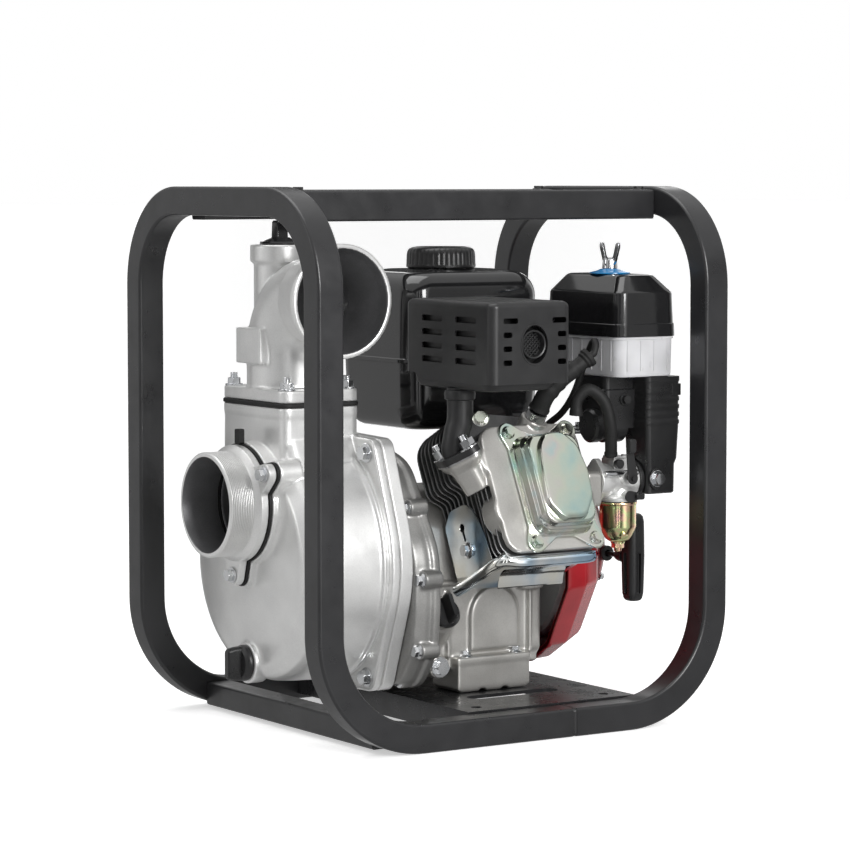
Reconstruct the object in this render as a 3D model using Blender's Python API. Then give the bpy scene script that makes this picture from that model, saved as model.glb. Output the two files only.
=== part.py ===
"""Gas engine trash pump in a square-tube roll frame, as an assembly of separate solids.

Metres, +Z up. The origin is on the floor under the middle of the frame. +Y runs along the crankshaft
from the pump to the recoil starter, and +X points to the side of the cylinder head.
"""

from math import asin, atan2, cos, hypot, pi, radians, sin

import bmesh
import bpy
from mathutils import Matrix, Vector

# Driving dimensions
FRAME_WIDTH = 0.320
FRAME_LENGTH = 0.406
FRAME_HEIGHT = 0.455
TUBE = 0.024
TUBE_WALL = 0.002
TOP_RADIUS = 0.084
FOOT_RADIUS = 0.100
WELD_Y = 0.045
GAP = 0.0003

CRANK_X = -0.0245
CRANK_Z = 0.140
CYLINDER_TILT = radians(26)
CYLINDER_Y = 0.047
HEAD_Y = 0.047

PUMP_FRONT = -0.160
PUMP_BACK = -0.078
CASING_RADIUS = 0.103
SUCTION_Z = 0.191
SUCTION_BORE = 0.036
PORT_RADIUS = 0.044
NECK_X = -0.030
NECK_Y = -0.1163
NECK_HALF_X = 0.0525
NECK_HALF_Y = 0.0377
NECK_TOP = 0.272
ELBOW_BASE = 0.2761
ELBOW_AXIS_Z = 0.361
ELBOW_MOUTH_X = 0.056
TOWER_X = -0.043
EAR_X = 0.068
EAR_Z = 0.094

PLATE_TOP = 0.0255
HOUSING_BACK = 0.098
HOUSING_FRONT = 0.146
RECOIL_FRONT = 0.172
CARB_X = 0.098
CARB_Y = 0.133
CARB_Z = 0.205

X_AXIS = Vector((1, 0, 0))
Y_AXIS = Vector((0, 1, 0))
Z_AXIS = Vector((0, 0, 1))
CRANK = Vector((CRANK_X, 0, CRANK_Z))
CYLINDER_AXIS = Vector((cos(CYLINDER_TILT), 0, sin(CYLINDER_TILT)))
CYLINDER_UP = Vector((-sin(CYLINDER_TILT), 0, cos(CYLINDER_TILT)))


# Materials: name, base colour, roughness, metallic
FINISHES = {
    "frame_black": ((0.012, 0.012, 0.013), 0.4, 0.0),
    "cast_aluminium": ((0.62, 0.62, 0.61), 0.45, 1.0),
    "engine_casting": ((0.42, 0.41, 0.39), 0.5, 1.0),
    "fin_black": ((0.03, 0.03, 0.03), 0.5, 0.3),
    "zinc_yellow": ((0.72, 0.70, 0.52), 0.3, 1.0),
    "bright_zinc": ((0.75, 0.77, 0.80), 0.25, 1.0),
    "gloss_black": ((0.010, 0.010, 0.010), 0.15, 0.0),
    "satin_black": ((0.018, 0.018, 0.018), 0.4, 0.0),
    "rubber": ((0.010, 0.010, 0.010), 0.7, 0.0),
    "housing_red": ((0.42, 0.02, 0.03), 0.3, 0.0),
    "filter_white": ((0.70, 0.70, 0.68), 0.35, 0.0),
    "bowl_gold": ((0.70, 0.50, 0.18), 0.25, 1.0),
    "machined_steel": ((0.55, 0.55, 0.56), 0.3, 1.0),
    "foam": ((0.10, 0.10, 0.10), 0.9, 0.0),
}


def clear_scene():
    for obj in list(bpy.data.objects):
        bpy.data.objects.remove(obj)


def material(name):
    found = bpy.data.materials.get(name)
    if found:
        return found
    colour, roughness, metallic = FINISHES[name]
    made = bpy.data.materials.new(name)
    made.use_nodes = True
    shader = made.node_tree.nodes["Principled BSDF"]
    shader.inputs["Base Color"].default_value = (*colour, 1)
    shader.inputs["Roughness"].default_value = roughness
    shader.inputs["Metallic"].default_value = metallic
    made.diffuse_color = (*colour, 1)
    return made


# Mesh helpers


def finish_mesh(name, bm, slot, at=(0, 0, 0)):
    """One object from bm, with its origin at `at` and its faces pointing out."""
    bmesh.ops.remove_doubles(bm, verts=bm.verts, dist=1e-6)
    bmesh.ops.recalc_face_normals(bm, faces=bm.faces)
    bmesh.ops.translate(bm, verts=bm.verts, vec=-Vector(at))
    mesh = bpy.data.meshes.new(name)
    bm.to_mesh(mesh)
    bm.free()
    mesh.shade_smooth()
    mesh.set_sharp_from_angle(angle=radians(35))
    obj = bpy.data.objects.new(name, mesh)
    obj.location = at
    obj.data.materials.append(material(slot))
    bpy.context.scene.collection.objects.link(obj)
    return obj


def basis(axis, up=None):
    """Rotation whose local Z is axis, and whose local Y is as near as can be to up."""
    z = Vector(axis).normalized()
    if up is None:
        up = Z_AXIS if abs(z.z) < 0.9 else Y_AXIS
    x = Vector(up).cross(z).normalized()
    y = z.cross(x)
    return Matrix((x, y, z)).transposed().to_4x4()


def place(origin, axis, up=None):
    return Matrix.Translation(Vector(origin)) @ basis(axis, up)


def bridge(bm, low, high):
    count = len(low)
    for i in range(count):
        j = (i + 1) % count
        bm.faces.new((low[i], low[j], high[j], high[i]))


def turned(name, profile, slot, origin, axis, steps=32, at=None):
    """Solid of revolution. profile is a list of (radius, height along axis). It is closed on itself,
    or on the axis where its two ends have radius 0."""
    bm = bmesh.new()
    frame = place(origin, axis)
    rings = []
    for radius, height in profile:
        if radius < 1e-7:
            rings.append([bm.verts.new(frame @ Vector((0, 0, height)))])
            continue
        ring = []
        for k in range(steps):
            angle = 2 * pi * k / steps
            ring.append(bm.verts.new(frame @ Vector((radius * cos(angle), radius * sin(angle), height))))
        rings.append(ring)
    on_axis = len(rings[0]) == 1 and len(rings[-1]) == 1
    pairs = list(zip(rings, rings[1:]))
    if not on_axis:
        pairs.append((rings[-1], rings[0]))
    for low, high in pairs:
        if len(low) == 1 and len(high) == 1:
            continue
        if len(low) > 1 and len(high) > 1:
            bridge(bm, low, high)
            continue
        point, ring = (low[0], high) if len(low) == 1 else (high[0], low)
        for i in range(steps):
            bm.faces.new((point, ring[i], ring[(i + 1) % steps]))
    return finish_mesh(name, bm, slot, at if at is not None else origin)


def lofted(name, sections, slot, frame, at=None):
    """Solid through outlines of equal length. sections is a list of (height, outline), along frame's Z."""
    bm = bmesh.new()
    rings = []
    for height, outline in sections:
        rings.append([bm.verts.new(frame @ Vector((x, y, height))) for x, y in outline])
    for low, high in zip(rings, rings[1:]):
        bridge(bm, low, high)
    bm.faces.new(rings[0])
    bm.faces.new(rings[-1])
    return finish_mesh(name, bm, slot, at if at is not None else frame.translation)


def prism(name, outline, low, high, slot, frame, at=None):
    return lofted(name, [(low, outline), (high, outline)], slot, frame, at)


def block(name, low, high, slot, at=None):
    """Box between two corners."""
    outline = [(low[0], low[1]), (high[0], low[1]), (high[0], high[1]), (low[0], high[1])]
    centre = (Vector(low) + Vector(high)) / 2
    return prism(name, outline, low[2], high[2], slot, Matrix.Identity(4), at if at is not None else centre)


def swept(name, points, section, slot, hole=None, up=None):
    """Solid or hollow bar along points. section and hole are outlines of equal length."""
    bm = bmesh.new()
    path = [Vector(p) for p in points]
    tangents = []
    for i in range(len(path)):
        ahead = path[min(i + 1, len(path) - 1)] - path[i]
        behind = path[i] - path[max(i - 1, 0)]
        tangents.append((ahead.normalized() + behind.normalized()).normalized())
    turn = basis(tangents[0], up).to_3x3()
    outer, inner = [], []
    for i, point in enumerate(path):
        if i:
            turn = tangents[i - 1].rotation_difference(tangents[i]).to_matrix() @ turn
        outer.append([bm.verts.new(point + turn @ Vector((x, y, 0))) for x, y in section])
        if hole:
            inner.append([bm.verts.new(point + turn @ Vector((x, y, 0))) for x, y in hole])
    for rings in (outer, inner):
        for low, high in zip(rings, rings[1:]):
            bridge(bm, low, high)
    if hole:
        bridge(bm, outer[0], inner[0])
        bridge(bm, outer[-1], inner[-1])
    else:
        bm.faces.new(outer[0])
        bm.faces.new(outer[-1])
    return finish_mesh(name, bm, slot, path[0])


# Outlines, as lists of (x, y)


def circle(radius, steps=24, cx=0.0, cy=0.0, start=0.0):
    return [(cx + radius * cos(start + 2 * pi * k / steps), cy + radius * sin(start + 2 * pi * k / steps))
            for k in range(steps)]


def rounded_box(half_x, half_y, radius, steps=4, cx=0.0, cy=0.0):
    points = []
    for corner, (sx, sy) in enumerate(((1, 1), (-1, 1), (-1, -1), (1, -1))):
        for k in range(steps + 1):
            angle = pi / 2 * (corner + k / steps)
            points.append((cx + sx * (half_x - radius) + radius * cos(angle),
                           cy + sy * (half_y - radius) + radius * sin(angle)))
    return points


def hull(points):
    """Convex hull, anticlockwise."""
    ordered = sorted(set(points))

    def half(sequence):
        chain = []
        for p in sequence:
            while len(chain) > 1:
                (ax, ay), (bx, by) = chain[-2:]
                if (bx - ax) * (p[1] - ay) - (by - ay) * (p[0] - ax) > 1e-12:
                    break
                chain.pop()
            chain.append(p)
        return chain[:-1]

    return half(ordered) + half(reversed(ordered))


def lobed(radius, lobes, steps=24):
    """Outline of a disc joined to round lobes (x, y, radius) by tangent lines."""
    hulls = [hull(circle(radius, 48))]
    angles = [2 * pi * k / steps for k in range(steps)]
    for x, y, r in lobes:
        hulls.append(hull(circle(radius, 48) + circle(r, 24, x, y)))
        middle, spread = atan2(y, x), asin(min(1, r / hypot(x, y)))
        angles = [a for a in angles if abs((a - middle + pi) % (2 * pi) - pi) > spread * 1.3]
        angles += [middle + spread * share for share in (-1, -0.8, -0.4, 0, 0.4, 0.8, 1)]
    outline = []
    for angle in sorted(a % (2 * pi) for a in angles):
        direction = Vector((cos(angle), sin(angle)))
        reach = max(crossing(direction, shape) for shape in hulls)
        outline.append((direction.x * reach, direction.y * reach))
    return outline


def crossing(direction, shape):
    """How far a ray from the origin runs before it leaves the convex outline."""
    reach = 0.0
    for (ax, ay), (bx, by) in zip(shape, shape[1:] + shape[:1]):
        edge = Vector((bx - ax, by - ay))
        across = direction.x * edge.y - direction.y * edge.x
        if abs(across) < 1e-12:
            continue
        along = (ax * edge.y - ay * edge.x) / across
        share = (ax * direction.y - ay * direction.x) / across
        if along > 0 and -1e-9 <= share <= 1 + 1e-9:
            reach = max(reach, along)
    return reach


def scaled(outline, factor_x, factor_y=None):
    factor_y = factor_x if factor_y is None else factor_y
    return [(x * factor_x, y * factor_y) for x, y in outline]


# Boolean helpers


def combine(obj, others, operation):
    """Joins others to obj, or cuts them from it, and removes them."""
    for other in others:
        step = obj.modifiers.new("step", "BOOLEAN")
        step.operation = operation
        step.solver = "EXACT"
        step.object = other
        graph = bpy.context.evaluated_depsgraph_get()
        mesh = bpy.data.meshes.new_from_object(obj.evaluated_get(graph))
        obj.modifiers.remove(step)
        obj.data = mesh
        bpy.data.objects.remove(other)
    mesh = obj.data
    slot = mesh.materials[0]
    mesh.materials.clear()
    mesh.materials.append(slot)
    clean = bmesh.new()
    clean.from_mesh(mesh)
    bmesh.ops.remove_doubles(clean, verts=clean.verts, dist=2e-6)
    bmesh.ops.dissolve_degenerate(clean, dist=1e-6, edges=clean.edges)
    clean.to_mesh(mesh)
    clean.free()
    mesh.shade_smooth()
    mesh.set_sharp_from_angle(angle=radians(35))
    return obj


def join(obj, *others):
    return combine(obj, others, "UNION")


def cut(obj, *others):
    return combine(obj, others, "DIFFERENCE")


def arc(centre, start, end, radius, first, second, steps=5):
    """Points on an arc: angle 0 points along first, and 90 degrees along second."""
    points = []
    for k in range(steps + 1):
        angle = start + (end - start) * k / steps
        points.append(Vector(centre) + Vector(first) * radius * cos(angle) + Vector(second) * radius * sin(angle))
    return points


def smooth_path(points, each=4):
    """Catmull-Rom curve through hand-chosen points."""
    p = [Vector(v) for v in points]
    p = [2 * p[0] - p[1]] + p + [2 * p[-1] - p[-2]]
    found = []
    for i in range(1, len(p) - 2):
        for k in range(each):
            t = k / each
            a, b, c, d = p[i - 1], p[i], p[i + 1], p[i + 2]
            found.append(0.5 * (2 * b + (c - a) * t + (2 * a - 5 * b + 4 * c - d) * t ** 2
                                + (3 * b - a - 3 * c + d) * t ** 3))
    found.append(p[-2])
    return found


def on_cylinder(s, w, y):
    """A point s along the cylinder axis from the crankshaft, w above that axis, at y."""
    return CRANK + CYLINDER_AXIS * s + CYLINDER_UP * w + Y_AXIS * y


# Frames for prisms: local x, y, z as world directions
ACROSS_Y = Matrix(((1, 0, 0, 0), (0, 0, 1, 0), (0, 1, 0, 0), (0, 0, 0, 1)))
"""Local x is +X, local y is +Z and local z is +Y, so an outline is drawn as (X, Z)."""
ACROSS_X = Matrix(((0, 0, 1, 0), (1, 0, 0, 0), (0, 1, 0, 0), (0, 0, 0, 1)))
"""Local x is +Y, local y is +Z and local z is +X, so an outline is drawn as (Y, Z)."""
ON_CRANK = Matrix.Translation(CRANK) @ ACROSS_Y


def cylinder_frame(y=0.0):
    """Local x is +Y, local y is up along the head's face, and local z is the cylinder axis."""
    turn = Matrix((Y_AXIS, CYLINDER_UP, CYLINDER_AXIS)).transposed().to_4x4()
    return Matrix.Translation(CRANK + Y_AXIS * y) @ turn


def cylinder_block(name, s, w, y, slot):
    """Box between limits along the cylinder axis (s), above it (w) and along the crankshaft (y)."""
    outline = [(y[0], w[0]), (y[1], w[0]), (y[1], w[1]), (y[0], w[1])]
    return prism(name, outline, s[0], s[1], slot, cylinder_frame())


# Frame


def square(side, corner):
    return rounded_box(side / 2, side / 2, corner, 1)


def hoop(name, end):
    """Inverted U of square tube whose legs turn under the machine. end is -1 at the pump, 1 at the starter."""
    x = (FRAME_WIDTH - TUBE) / 2
    y = end * (FRAME_LENGTH - TUBE) / 2
    top = FRAME_HEIGHT - TUBE / 2
    bend = TOP_RADIUS - TUBE / 2
    foot = FOOT_RADIUS - TUBE / 2
    inward = Vector((0, -end, 0))
    points = [Vector((x, WELD_Y + end * GAP / 2, TUBE / 2))]
    points += arc((x, y - end * foot, TUBE / 2 + foot), pi / 2, 0, foot, -inward, -Z_AXIS)
    points += arc((x - bend, y, top - bend), 0, pi / 2, bend, X_AXIS, Z_AXIS)
    points += arc((bend - x, y, top - bend), pi / 2, pi, bend, X_AXIS, Z_AXIS)
    points += arc((-x, y - end * foot, TUBE / 2 + foot), 0, pi / 2, foot, -inward, -Z_AXIS)
    points.append(Vector((-x, WELD_Y + end * GAP / 2, TUBE / 2)))
    bore = TUBE - 2 * TUBE_WALL
    return swept(name, points, square(TUBE, 0.0025), "frame_black", square(bore, 0.0012), Z_AXIS)


def frame_parts():
    hoop("pump_end_hoop", -1)
    hoop("recoil_end_hoop", 1)
    inner_y = FRAME_LENGTH / 2 - TUBE - GAP
    for name, side in (("top_crossbar_near", 1), ("top_crossbar_far", -1)):
        ends = [(side * 0.075, -inner_y, 0.4395), (side * 0.075, inner_y, 0.4395)]
        swept(name, ends, rounded_box(0.011, 0.0125, 0.002, 1), "frame_black",
              rounded_box(0.009, 0.0105, 0.001, 1), Z_AXIS)
    inner_x = FRAME_WIDTH / 2 - TUBE - GAP
    ends = [(-inner_x, -0.127, 0.013), (inner_x, -0.127, 0.013)]
    swept("front_cross_member", ends, rounded_box(0.012, 0.010, 0.002, 1), "frame_black",
          rounded_box(0.010, 0.008, 0.001, 1), Z_AXIS)
    base_plate(inner_x)


def base_plate(inner_x):
    """Folded sheet with a lip down its front and rear edges, stamped with two slots."""
    front, rear, sheet, low = -0.046, 0.124, 0.003, 0.005
    outline = [(front, low), (front + sheet, low), (front + sheet, PLATE_TOP - sheet),
               (rear - sheet, PLATE_TOP - sheet), (rear - sheet, low), (rear, low),
               (rear, PLATE_TOP), (front, PLATE_TOP)]
    plate = prism("engine_base_plate", outline, -inner_x, inner_x, "frame_black", ACROSS_X)
    slots = []
    for x in (-0.118, 0.075):
        slots.append(prism("slot", rounded_box(0.009, 0.045, 0.008, 3, x, 0.040), 0.01, 0.04,
                           "frame_black", Matrix.Identity(4)))
    cut(plate, *slots)


# Pump


def ear_outline(radius, ear):
    ears = [(sx * EAR_X, sz * EAR_Z, ear) for sx in (1, -1) for sz in (1, -1)]
    return lobed(radius, ears, 28)


def ear_centres():
    return [(sx * EAR_X, sz * EAR_Z) for sx in (1, -1) for sz in (1, -1)]


def suction_lugs(radius, lug, extra=()):
    lugs = [(0.060 * cos(radians(a)), 0.060 * sin(radians(a)), lug) for a in (28, 152, 270)]
    return lobed(radius, lugs + list(extra), 24)


def drill(x, z, low, high, radius, steps=8):
    """Cutter along Y at (x, z)."""
    return prism("drill", circle(radius, steps, x, z), low, high, "cast_aluminium", ACROSS_Y)


def pump_casing():
    body = turned("pump_casing", [(0, PUMP_FRONT), (0.086, PUMP_FRONT), (0.096, -0.151), (0.101, -0.138),
                                  (CASING_RADIUS, -0.088), (CASING_RADIUS, PUMP_BACK), (0, PUMP_BACK)],
                  "cast_aluminium", CRANK, Y_AXIS, 32)
    flange = prism("flange", ear_outline(0.108, 0.012), -0.086, PUMP_BACK, "cast_aluminium", ON_CRANK)
    neck = prism("neck", rounded_box(NECK_HALF_X, NECK_HALF_Y, 0.009, 2, NECK_X, NECK_Y), 0.15, NECK_TOP,
                 "cast_aluminium", Matrix.Identity(4))
    on_port = Matrix.Translation((CRANK_X, 0, SUCTION_Z)) @ ACROSS_Y
    seat = prism("seat", suction_lugs(0.0545, 0.0105), -0.166, -0.1445, "cast_aluminium", on_port)
    boss = drill(CRANK_X, 0.056, -0.164, -0.150, 0.017, 20)
    join(body, flange, neck, seat, boss)
    hollow = turned("hollow", [(0, -0.152), (0.091, -0.152), (0.095, -0.146), (0.096, -0.07), (0, -0.07)],
                    "cast_aluminium", CRANK, Y_AXIS, 28)
    throat = prism("throat", rounded_box(NECK_HALF_X - 0.007, NECK_HALF_Y - 0.007, 0.004, 2, NECK_X, NECK_Y),
                   0.16, 0.30, "cast_aluminium", Matrix.Identity(4))
    bore = drill(CRANK_X, SUCTION_Z, -0.18, -0.13, SUCTION_BORE, 24)
    drain = drill(CRANK_X, 0.056, -0.18, -0.13, 0.0095, 16)
    holes = [drill(CRANK_X + x, CRANK_Z + z, -0.10, -0.06, 0.0034) for x, z in ear_centres()]
    cut(body, hollow, throat, bore, drain, *holes, *suction_holes(-0.17, -0.1535, 0.0028))
    return body


def suction_holes(low, high, radius):
    made = []
    for a in (28, 152, 270):
        x, z = CRANK_X + 0.060 * cos(radians(a)), SUCTION_Z + 0.060 * sin(radians(a))
        made.append(drill(x, z, low, high, radius))
    return made


def pump_back_cover():
    cover = prism("pump_back_cover", ear_outline(0.108, 0.012), PUMP_BACK + GAP, -0.0655, "cast_aluminium",
                  ON_CRANK)
    holes = [drill(CRANK_X + x, CRANK_Z + z, -0.10, -0.05, 0.0034) for x, z in ear_centres()]
    cut(cover, drill(CRANK_X, CRANK_Z, -0.10, -0.05, 0.0165, 24), *holes)


def suction_flange():
    on_port = Matrix.Translation((CRANK_X, 0, SUCTION_Z)) @ ACROSS_Y
    flange = prism("suction_flange", suction_lugs(0.053, 0.0105), -0.176, -0.1690, "cast_aluminium", on_port)
    nipple = turned("nipple", [(0, -0.2015), (PORT_RADIUS - 0.001, -0.2015), (PORT_RADIUS, -0.200),
                               (PORT_RADIUS, -0.1795), (0.0485, -0.176), (0, -0.172)],
                    "cast_aluminium", (CRANK_X, 0, SUCTION_Z), Y_AXIS, 32)
    join(flange, nipple)
    bore = turned("bore", [(0, -0.21), (0.0395, -0.21), (0.0385, -0.19), (SUCTION_BORE, -0.165), (0, -0.165)],
                  "cast_aluminium", (CRANK_X, 0, SUCTION_Z), Y_AXIS, 28)
    cut(flange, bore, *suction_holes(-0.18, -0.16, 0.0034))


def suction_gasket():
    on_port = Matrix.Translation((CRANK_X, 0, SUCTION_Z)) @ ACROSS_Y
    tab = (0, 0.0620, 0.0045)
    gasket = prism("suction_gasket", suction_lugs(0.0555, 0.0115, [tab]), -0.1687, -0.1663, "rubber", on_port)
    cut(gasket, drill(CRANK_X, SUCTION_Z, -0.18, -0.15, SUCTION_BORE, 24), *suction_holes(-0.18, -0.16, 0.0034))


def suction_bolts():
    for index, a in enumerate((28, 152, 270)):
        x, z = CRANK_X + 0.060 * cos(radians(a)), SUCTION_Z + 0.060 * sin(radians(a))
        bolt(f"suction_bolt_{index + 1}", (x, -0.1763, z), -Y_AXIS, 0.0052, 0.0025, 0.0205)


def bolt(name, seat, out, across, shank, length, slot="bright_zinc", steps=6):
    """Hexagon bolt with a washer: out points away from the seat, and the shank runs the other way."""
    frame = place(seat, out)
    head = prism(name, circle(across, steps), 0.0012, 0.0055, slot, frame)
    washer = prism("washer", circle(across * 1.28, 14), 0, 0.0014, slot, frame)
    rod = prism("rod", circle(shank, 8), -length, 0.001, slot, frame)
    return join(head, washer, rod)


def casing_bolts():
    for index, (x, z) in enumerate(ear_centres()):
        bolt(f"casing_bolt_{index + 1}", (CRANK_X + x, -0.0863, CRANK_Z + z), -Y_AXIS, 0.0062, 0.0031, 0.0205)


def check_flap():
    """Rubber disc that hangs behind the suction bore from a pin at its top."""
    hinge = (CRANK_X, -0.1500, SUCTION_Z + 0.0400)
    flap = prism("check_flap", circle(0.0375, 24), -0.1514, -0.1486, "rubber",
                 Matrix.Translation((CRANK_X, 0, SUCTION_Z)) @ ACROSS_Y, hinge)
    lug = drill(CRANK_X, SUCTION_Z, -0.1490, -0.1465, 0.016, 16)
    return join(flap, lug)


def elbow_gasket():
    outer = rounded_box(NECK_HALF_X + 0.001, NECK_HALF_Y + 0.001, 0.009, 3, NECK_X, NECK_Y)
    gasket = prism("elbow_gasket", outer, NECK_TOP + GAP, ELBOW_BASE - GAP, "rubber", Matrix.Identity(4))
    hole = prism("hole", circle(0.031, 24, NECK_X, NECK_Y), 0.26, 0.29, "rubber", Matrix.Identity(4))
    cut(gasket, hole)


def elbow_path(first, last):
    """Centreline of the elbow, from the flange up and round to +X."""
    bend = 0.046
    start = ELBOW_AXIS_Z - bend
    points = [Vector((NECK_X, NECK_Y, first))]
    points += arc((NECK_X + bend, NECK_Y, start), pi, pi / 2, bend, X_AXIS, Z_AXIS, 6)
    points.append(Vector((last, NECK_Y, ELBOW_AXIS_Z)))
    return points


def discharge_elbow():
    flange = prism("discharge_elbow", rounded_box(NECK_HALF_X, NECK_HALF_Y, 0.009, 3, NECK_X, NECK_Y),
                   ELBOW_BASE, ELBOW_BASE + 0.0105, "cast_aluminium", Matrix.Identity(4))
    barrel = swept("barrel", elbow_path(ELBOW_BASE + 0.005, 0.030), circle(0.0365, 24), "cast_aluminium")
    mouth_centre = (0, NECK_Y, ELBOW_AXIS_Z)
    mouth = turned("mouth", [(0, 0.010), (0.034, 0.010), (0.0385, 0.022), (0.0435, 0.040), (0.0455, 0.049),
                             (0.0475, 0.050), (0.0475, ELBOW_MOUTH_X), (0, ELBOW_MOUTH_X)],
                   "cast_aluminium", mouth_centre, X_AXIS, 28)
    tower = turned("tower", [(0, 0.325), (0.0220, 0.325), (0.0220, 0.391), (0.0250, 0.392), (0.0250, 0.406),
                             (0, 0.406)], "cast_aluminium", (TOWER_X, NECK_Y - 0.002, 0), Z_AXIS, 20)
    pad = block("pad", (-0.051, -0.157, 0.307), (-0.011, -0.130, 0.337), "cast_aluminium")
    join(flange, barrel, mouth, tower, pad)
    inside = swept("inside", elbow_path(0.26, 0.035), circle(0.0315, 20), "cast_aluminium")
    flare = turned("flare", [(0, 0.012), (0.030, 0.012), (0.0335, 0.022), (0.0390, 0.040), (0.0425, 0.050),
                             (0.0440, 0.070), (0, 0.070)], "cast_aluminium", mouth_centre, X_AXIS, 24)
    well = prism("well", circle(0.0155, 16, TOWER_X, NECK_Y - 0.002), 0.36, 0.42, "cast_aluminium",
                 Matrix.Identity(4))
    cut(flange, inside, flare, well)


def priming_plug():
    origin = (TOWER_X, NECK_Y - 0.002, 0.4063)
    plug = turned("priming_plug", [(0, -0.016), (0.0148, -0.016), (0.0148, 0), (0.0195, 0), (0.0195, 0.003),
                                   (0.011, 0.0055), (0, 0.0055)], "satin_black", origin, Z_AXIS, 24)
    head = prism("head", rounded_box(0.0075, 0.0075, 0.0015, 1), 0.004, 0.024, "satin_black", place(origin, Z_AXIS))
    join(plug, head)


def drain_plug():
    origin = (CRANK_X, -0.1643, 0.056)
    plug = turned("drain_plug", [(0, -0.0105), (0.0088, -0.0105), (0.0088, 0), (0.0150, 0), (0.0150, 0.003),
                                 (0.0120, 0.006), (0, 0.006)], "satin_black", origin, -Y_AXIS, 24)
    wing = prism("wing", rounded_box(0.0045, 0.0140, 0.003, 2), 0.004, 0.018, "satin_black", place(origin, -Y_AXIS))
    join(plug, wing)


def impeller():
    disc = turned("impeller", [(0, -0.0890), (0.070, -0.0890), (0.070, -0.0865), (0, -0.0865)],
                  "cast_aluminium", CRANK, Y_AXIS, 28)
    hub = turned("hub", [(0, -0.112), (0.0140, -0.112), (0.0160, -0.088), (0, -0.088)], "cast_aluminium",
                 CRANK, Y_AXIS, 20)
    vanes = []
    for k in range(3):
        outer, inner = [], []
        for i in range(6):
            t = i / 5
            radius, angle = 0.013 + 0.055 * t, 2 * pi * k / 3 + radians(110) * t
            half = 0.0016 / radius
            outer.append((radius * cos(angle + half), radius * sin(angle + half)))
            inner.append((radius * cos(angle - half), radius * sin(angle - half)))
        vanes.append(prism("vane", outer + inner[::-1], -0.110, -0.088, "cast_aluminium", ON_CRANK))
    join(disc, hub, *vanes)
    cut(disc, drill(CRANK_X, CRANK_Z, -0.108, -0.08, 0.0093, 20))


def volute_insert():
    shell = turned("volute_insert", [(0.034, -0.1180), (0.089, -0.1180), (0.091, -0.1160), (0.091, -0.0785),
                                     (0.087, -0.0785), (0.087, -0.1145), (0.034, -0.1145)],
                   "cast_aluminium", CRANK, Y_AXIS, 28)
    window = block("window", (NECK_X - 0.030, -0.1135, CRANK_Z + 0.050), (NECK_X + 0.012, -0.084, 0.26),
                   "cast_aluminium")
    cut(shell, window)


def mechanical_seal():
    turned("mechanical_seal", [(0.0098, -0.0861), (0.0150, -0.0861), (0.0160, -0.0700), (0.0098, -0.0700)],
           "machined_steel", CRANK, Y_AXIS, 24)


# Engine


def side_cover():
    outline = [(-0.098, 0.036), (0.058, 0.036), (0.082, 0.070), (0.086, 0.112), (0.084, 0.152), (0.040, 0.222),
               (0.010, 0.232), (-0.058, 0.232), (-0.100, 0.200), (-0.116, 0.150), (-0.114, 0.080)]
    cover = prism("side_cover", outline, -0.0652, -0.0402, "engine_casting", ACROSS_Y)
    cut(cover, drill(CRANK_X, CRANK_Z, -0.07, -0.03, 0.0130, 24))


def crankcase():
    outline = [(-0.104, 0.052), (0.044, 0.052), (0.044, 0.120), (0.030, 0.172), (0.000, 0.196), (-0.060, 0.196),
               (-0.104, 0.170)]
    case = prism("crankcase", outline, -0.0397, 0.0905, "engine_casting", ACROSS_Y)
    parts = [block("foot", (0.012, 0.000, PLATE_TOP + GAP), (0.052, 0.074, 0.056), "engine_casting"),
             block("foot", (-0.108, 0.000, PLATE_TOP + GAP), (-0.070, 0.074, 0.056), "engine_casting"),
             prism("barrel", circle(0.0405, 24), 0.03, 0.1175, "engine_casting", cylinder_frame(CYLINDER_Y))]
    for k in range(7):
        s = 0.0640 + 0.0079 * k
        outline = rounded_box(0.046, 0.054, 0.012, 2, CYLINDER_Y, 0)
        parts.append(prism("fin", outline, s, s + 0.0022, "engine_casting", cylinder_frame()))
    for y in (CYLINDER_Y - 0.037, CYLINDER_Y + 0.037):
        for w in (-0.041, 0.041):
            parts.append(cylinder_block("post", (0.058, 0.1177), (w - 0.006, w + 0.006), (y - 0.006, y + 0.006),
                                        "engine_casting"))
    filler = place(OIL_SEAT - OIL_OUT * 0.016, OIL_OUT)
    parts.append(prism("filler", circle(0.0125, 16), 0, 0.016, "engine_casting", filler))
    join(case, *parts)
    cavity = turned("cavity", [(0, -0.05), (0.041, -0.05), (0.041, 0.075), (0, 0.075)], "engine_casting", CRANK,
                    Y_AXIS, 24)
    bore = prism("bore", circle(0.030, 20), 0, 0.13, "engine_casting", cylinder_frame(CYLINDER_Y))
    shaft = drill(CRANK_X, CRANK_Z, 0.06, 0.10, 0.0130, 16)
    dipstick = prism("dipstick", circle(0.0075, 10), -0.010, 0.030, "engine_casting", filler)
    cut(case, cavity, bore, shaft, dipstick)


OIL_OUT = Vector((cos(radians(32)), 0, sin(radians(32))))
OIL_SEAT = Vector((0.056, -0.018, 0.096))


def oil_cap():
    seat = OIL_SEAT + OIL_OUT * GAP
    cap = turned("oil_cap", [(0, -0.016), (0.0066, -0.016), (0.0066, 0), (0.0140, 0), (0.0140, 0.004),
                             (0.0115, 0.007), (0, 0.007)], "satin_black", seat, OIL_OUT, 20)
    grip = prism("grip", rounded_box(0.0028, 0.0125, 0.0025, 2), 0.005, 0.018, "satin_black", place(seat, OIL_OUT))
    rod = prism("rod", circle(0.0022, 8), -0.022, -0.014, "satin_black", place(seat, OIL_OUT))
    join(cap, grip, rod)


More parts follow.
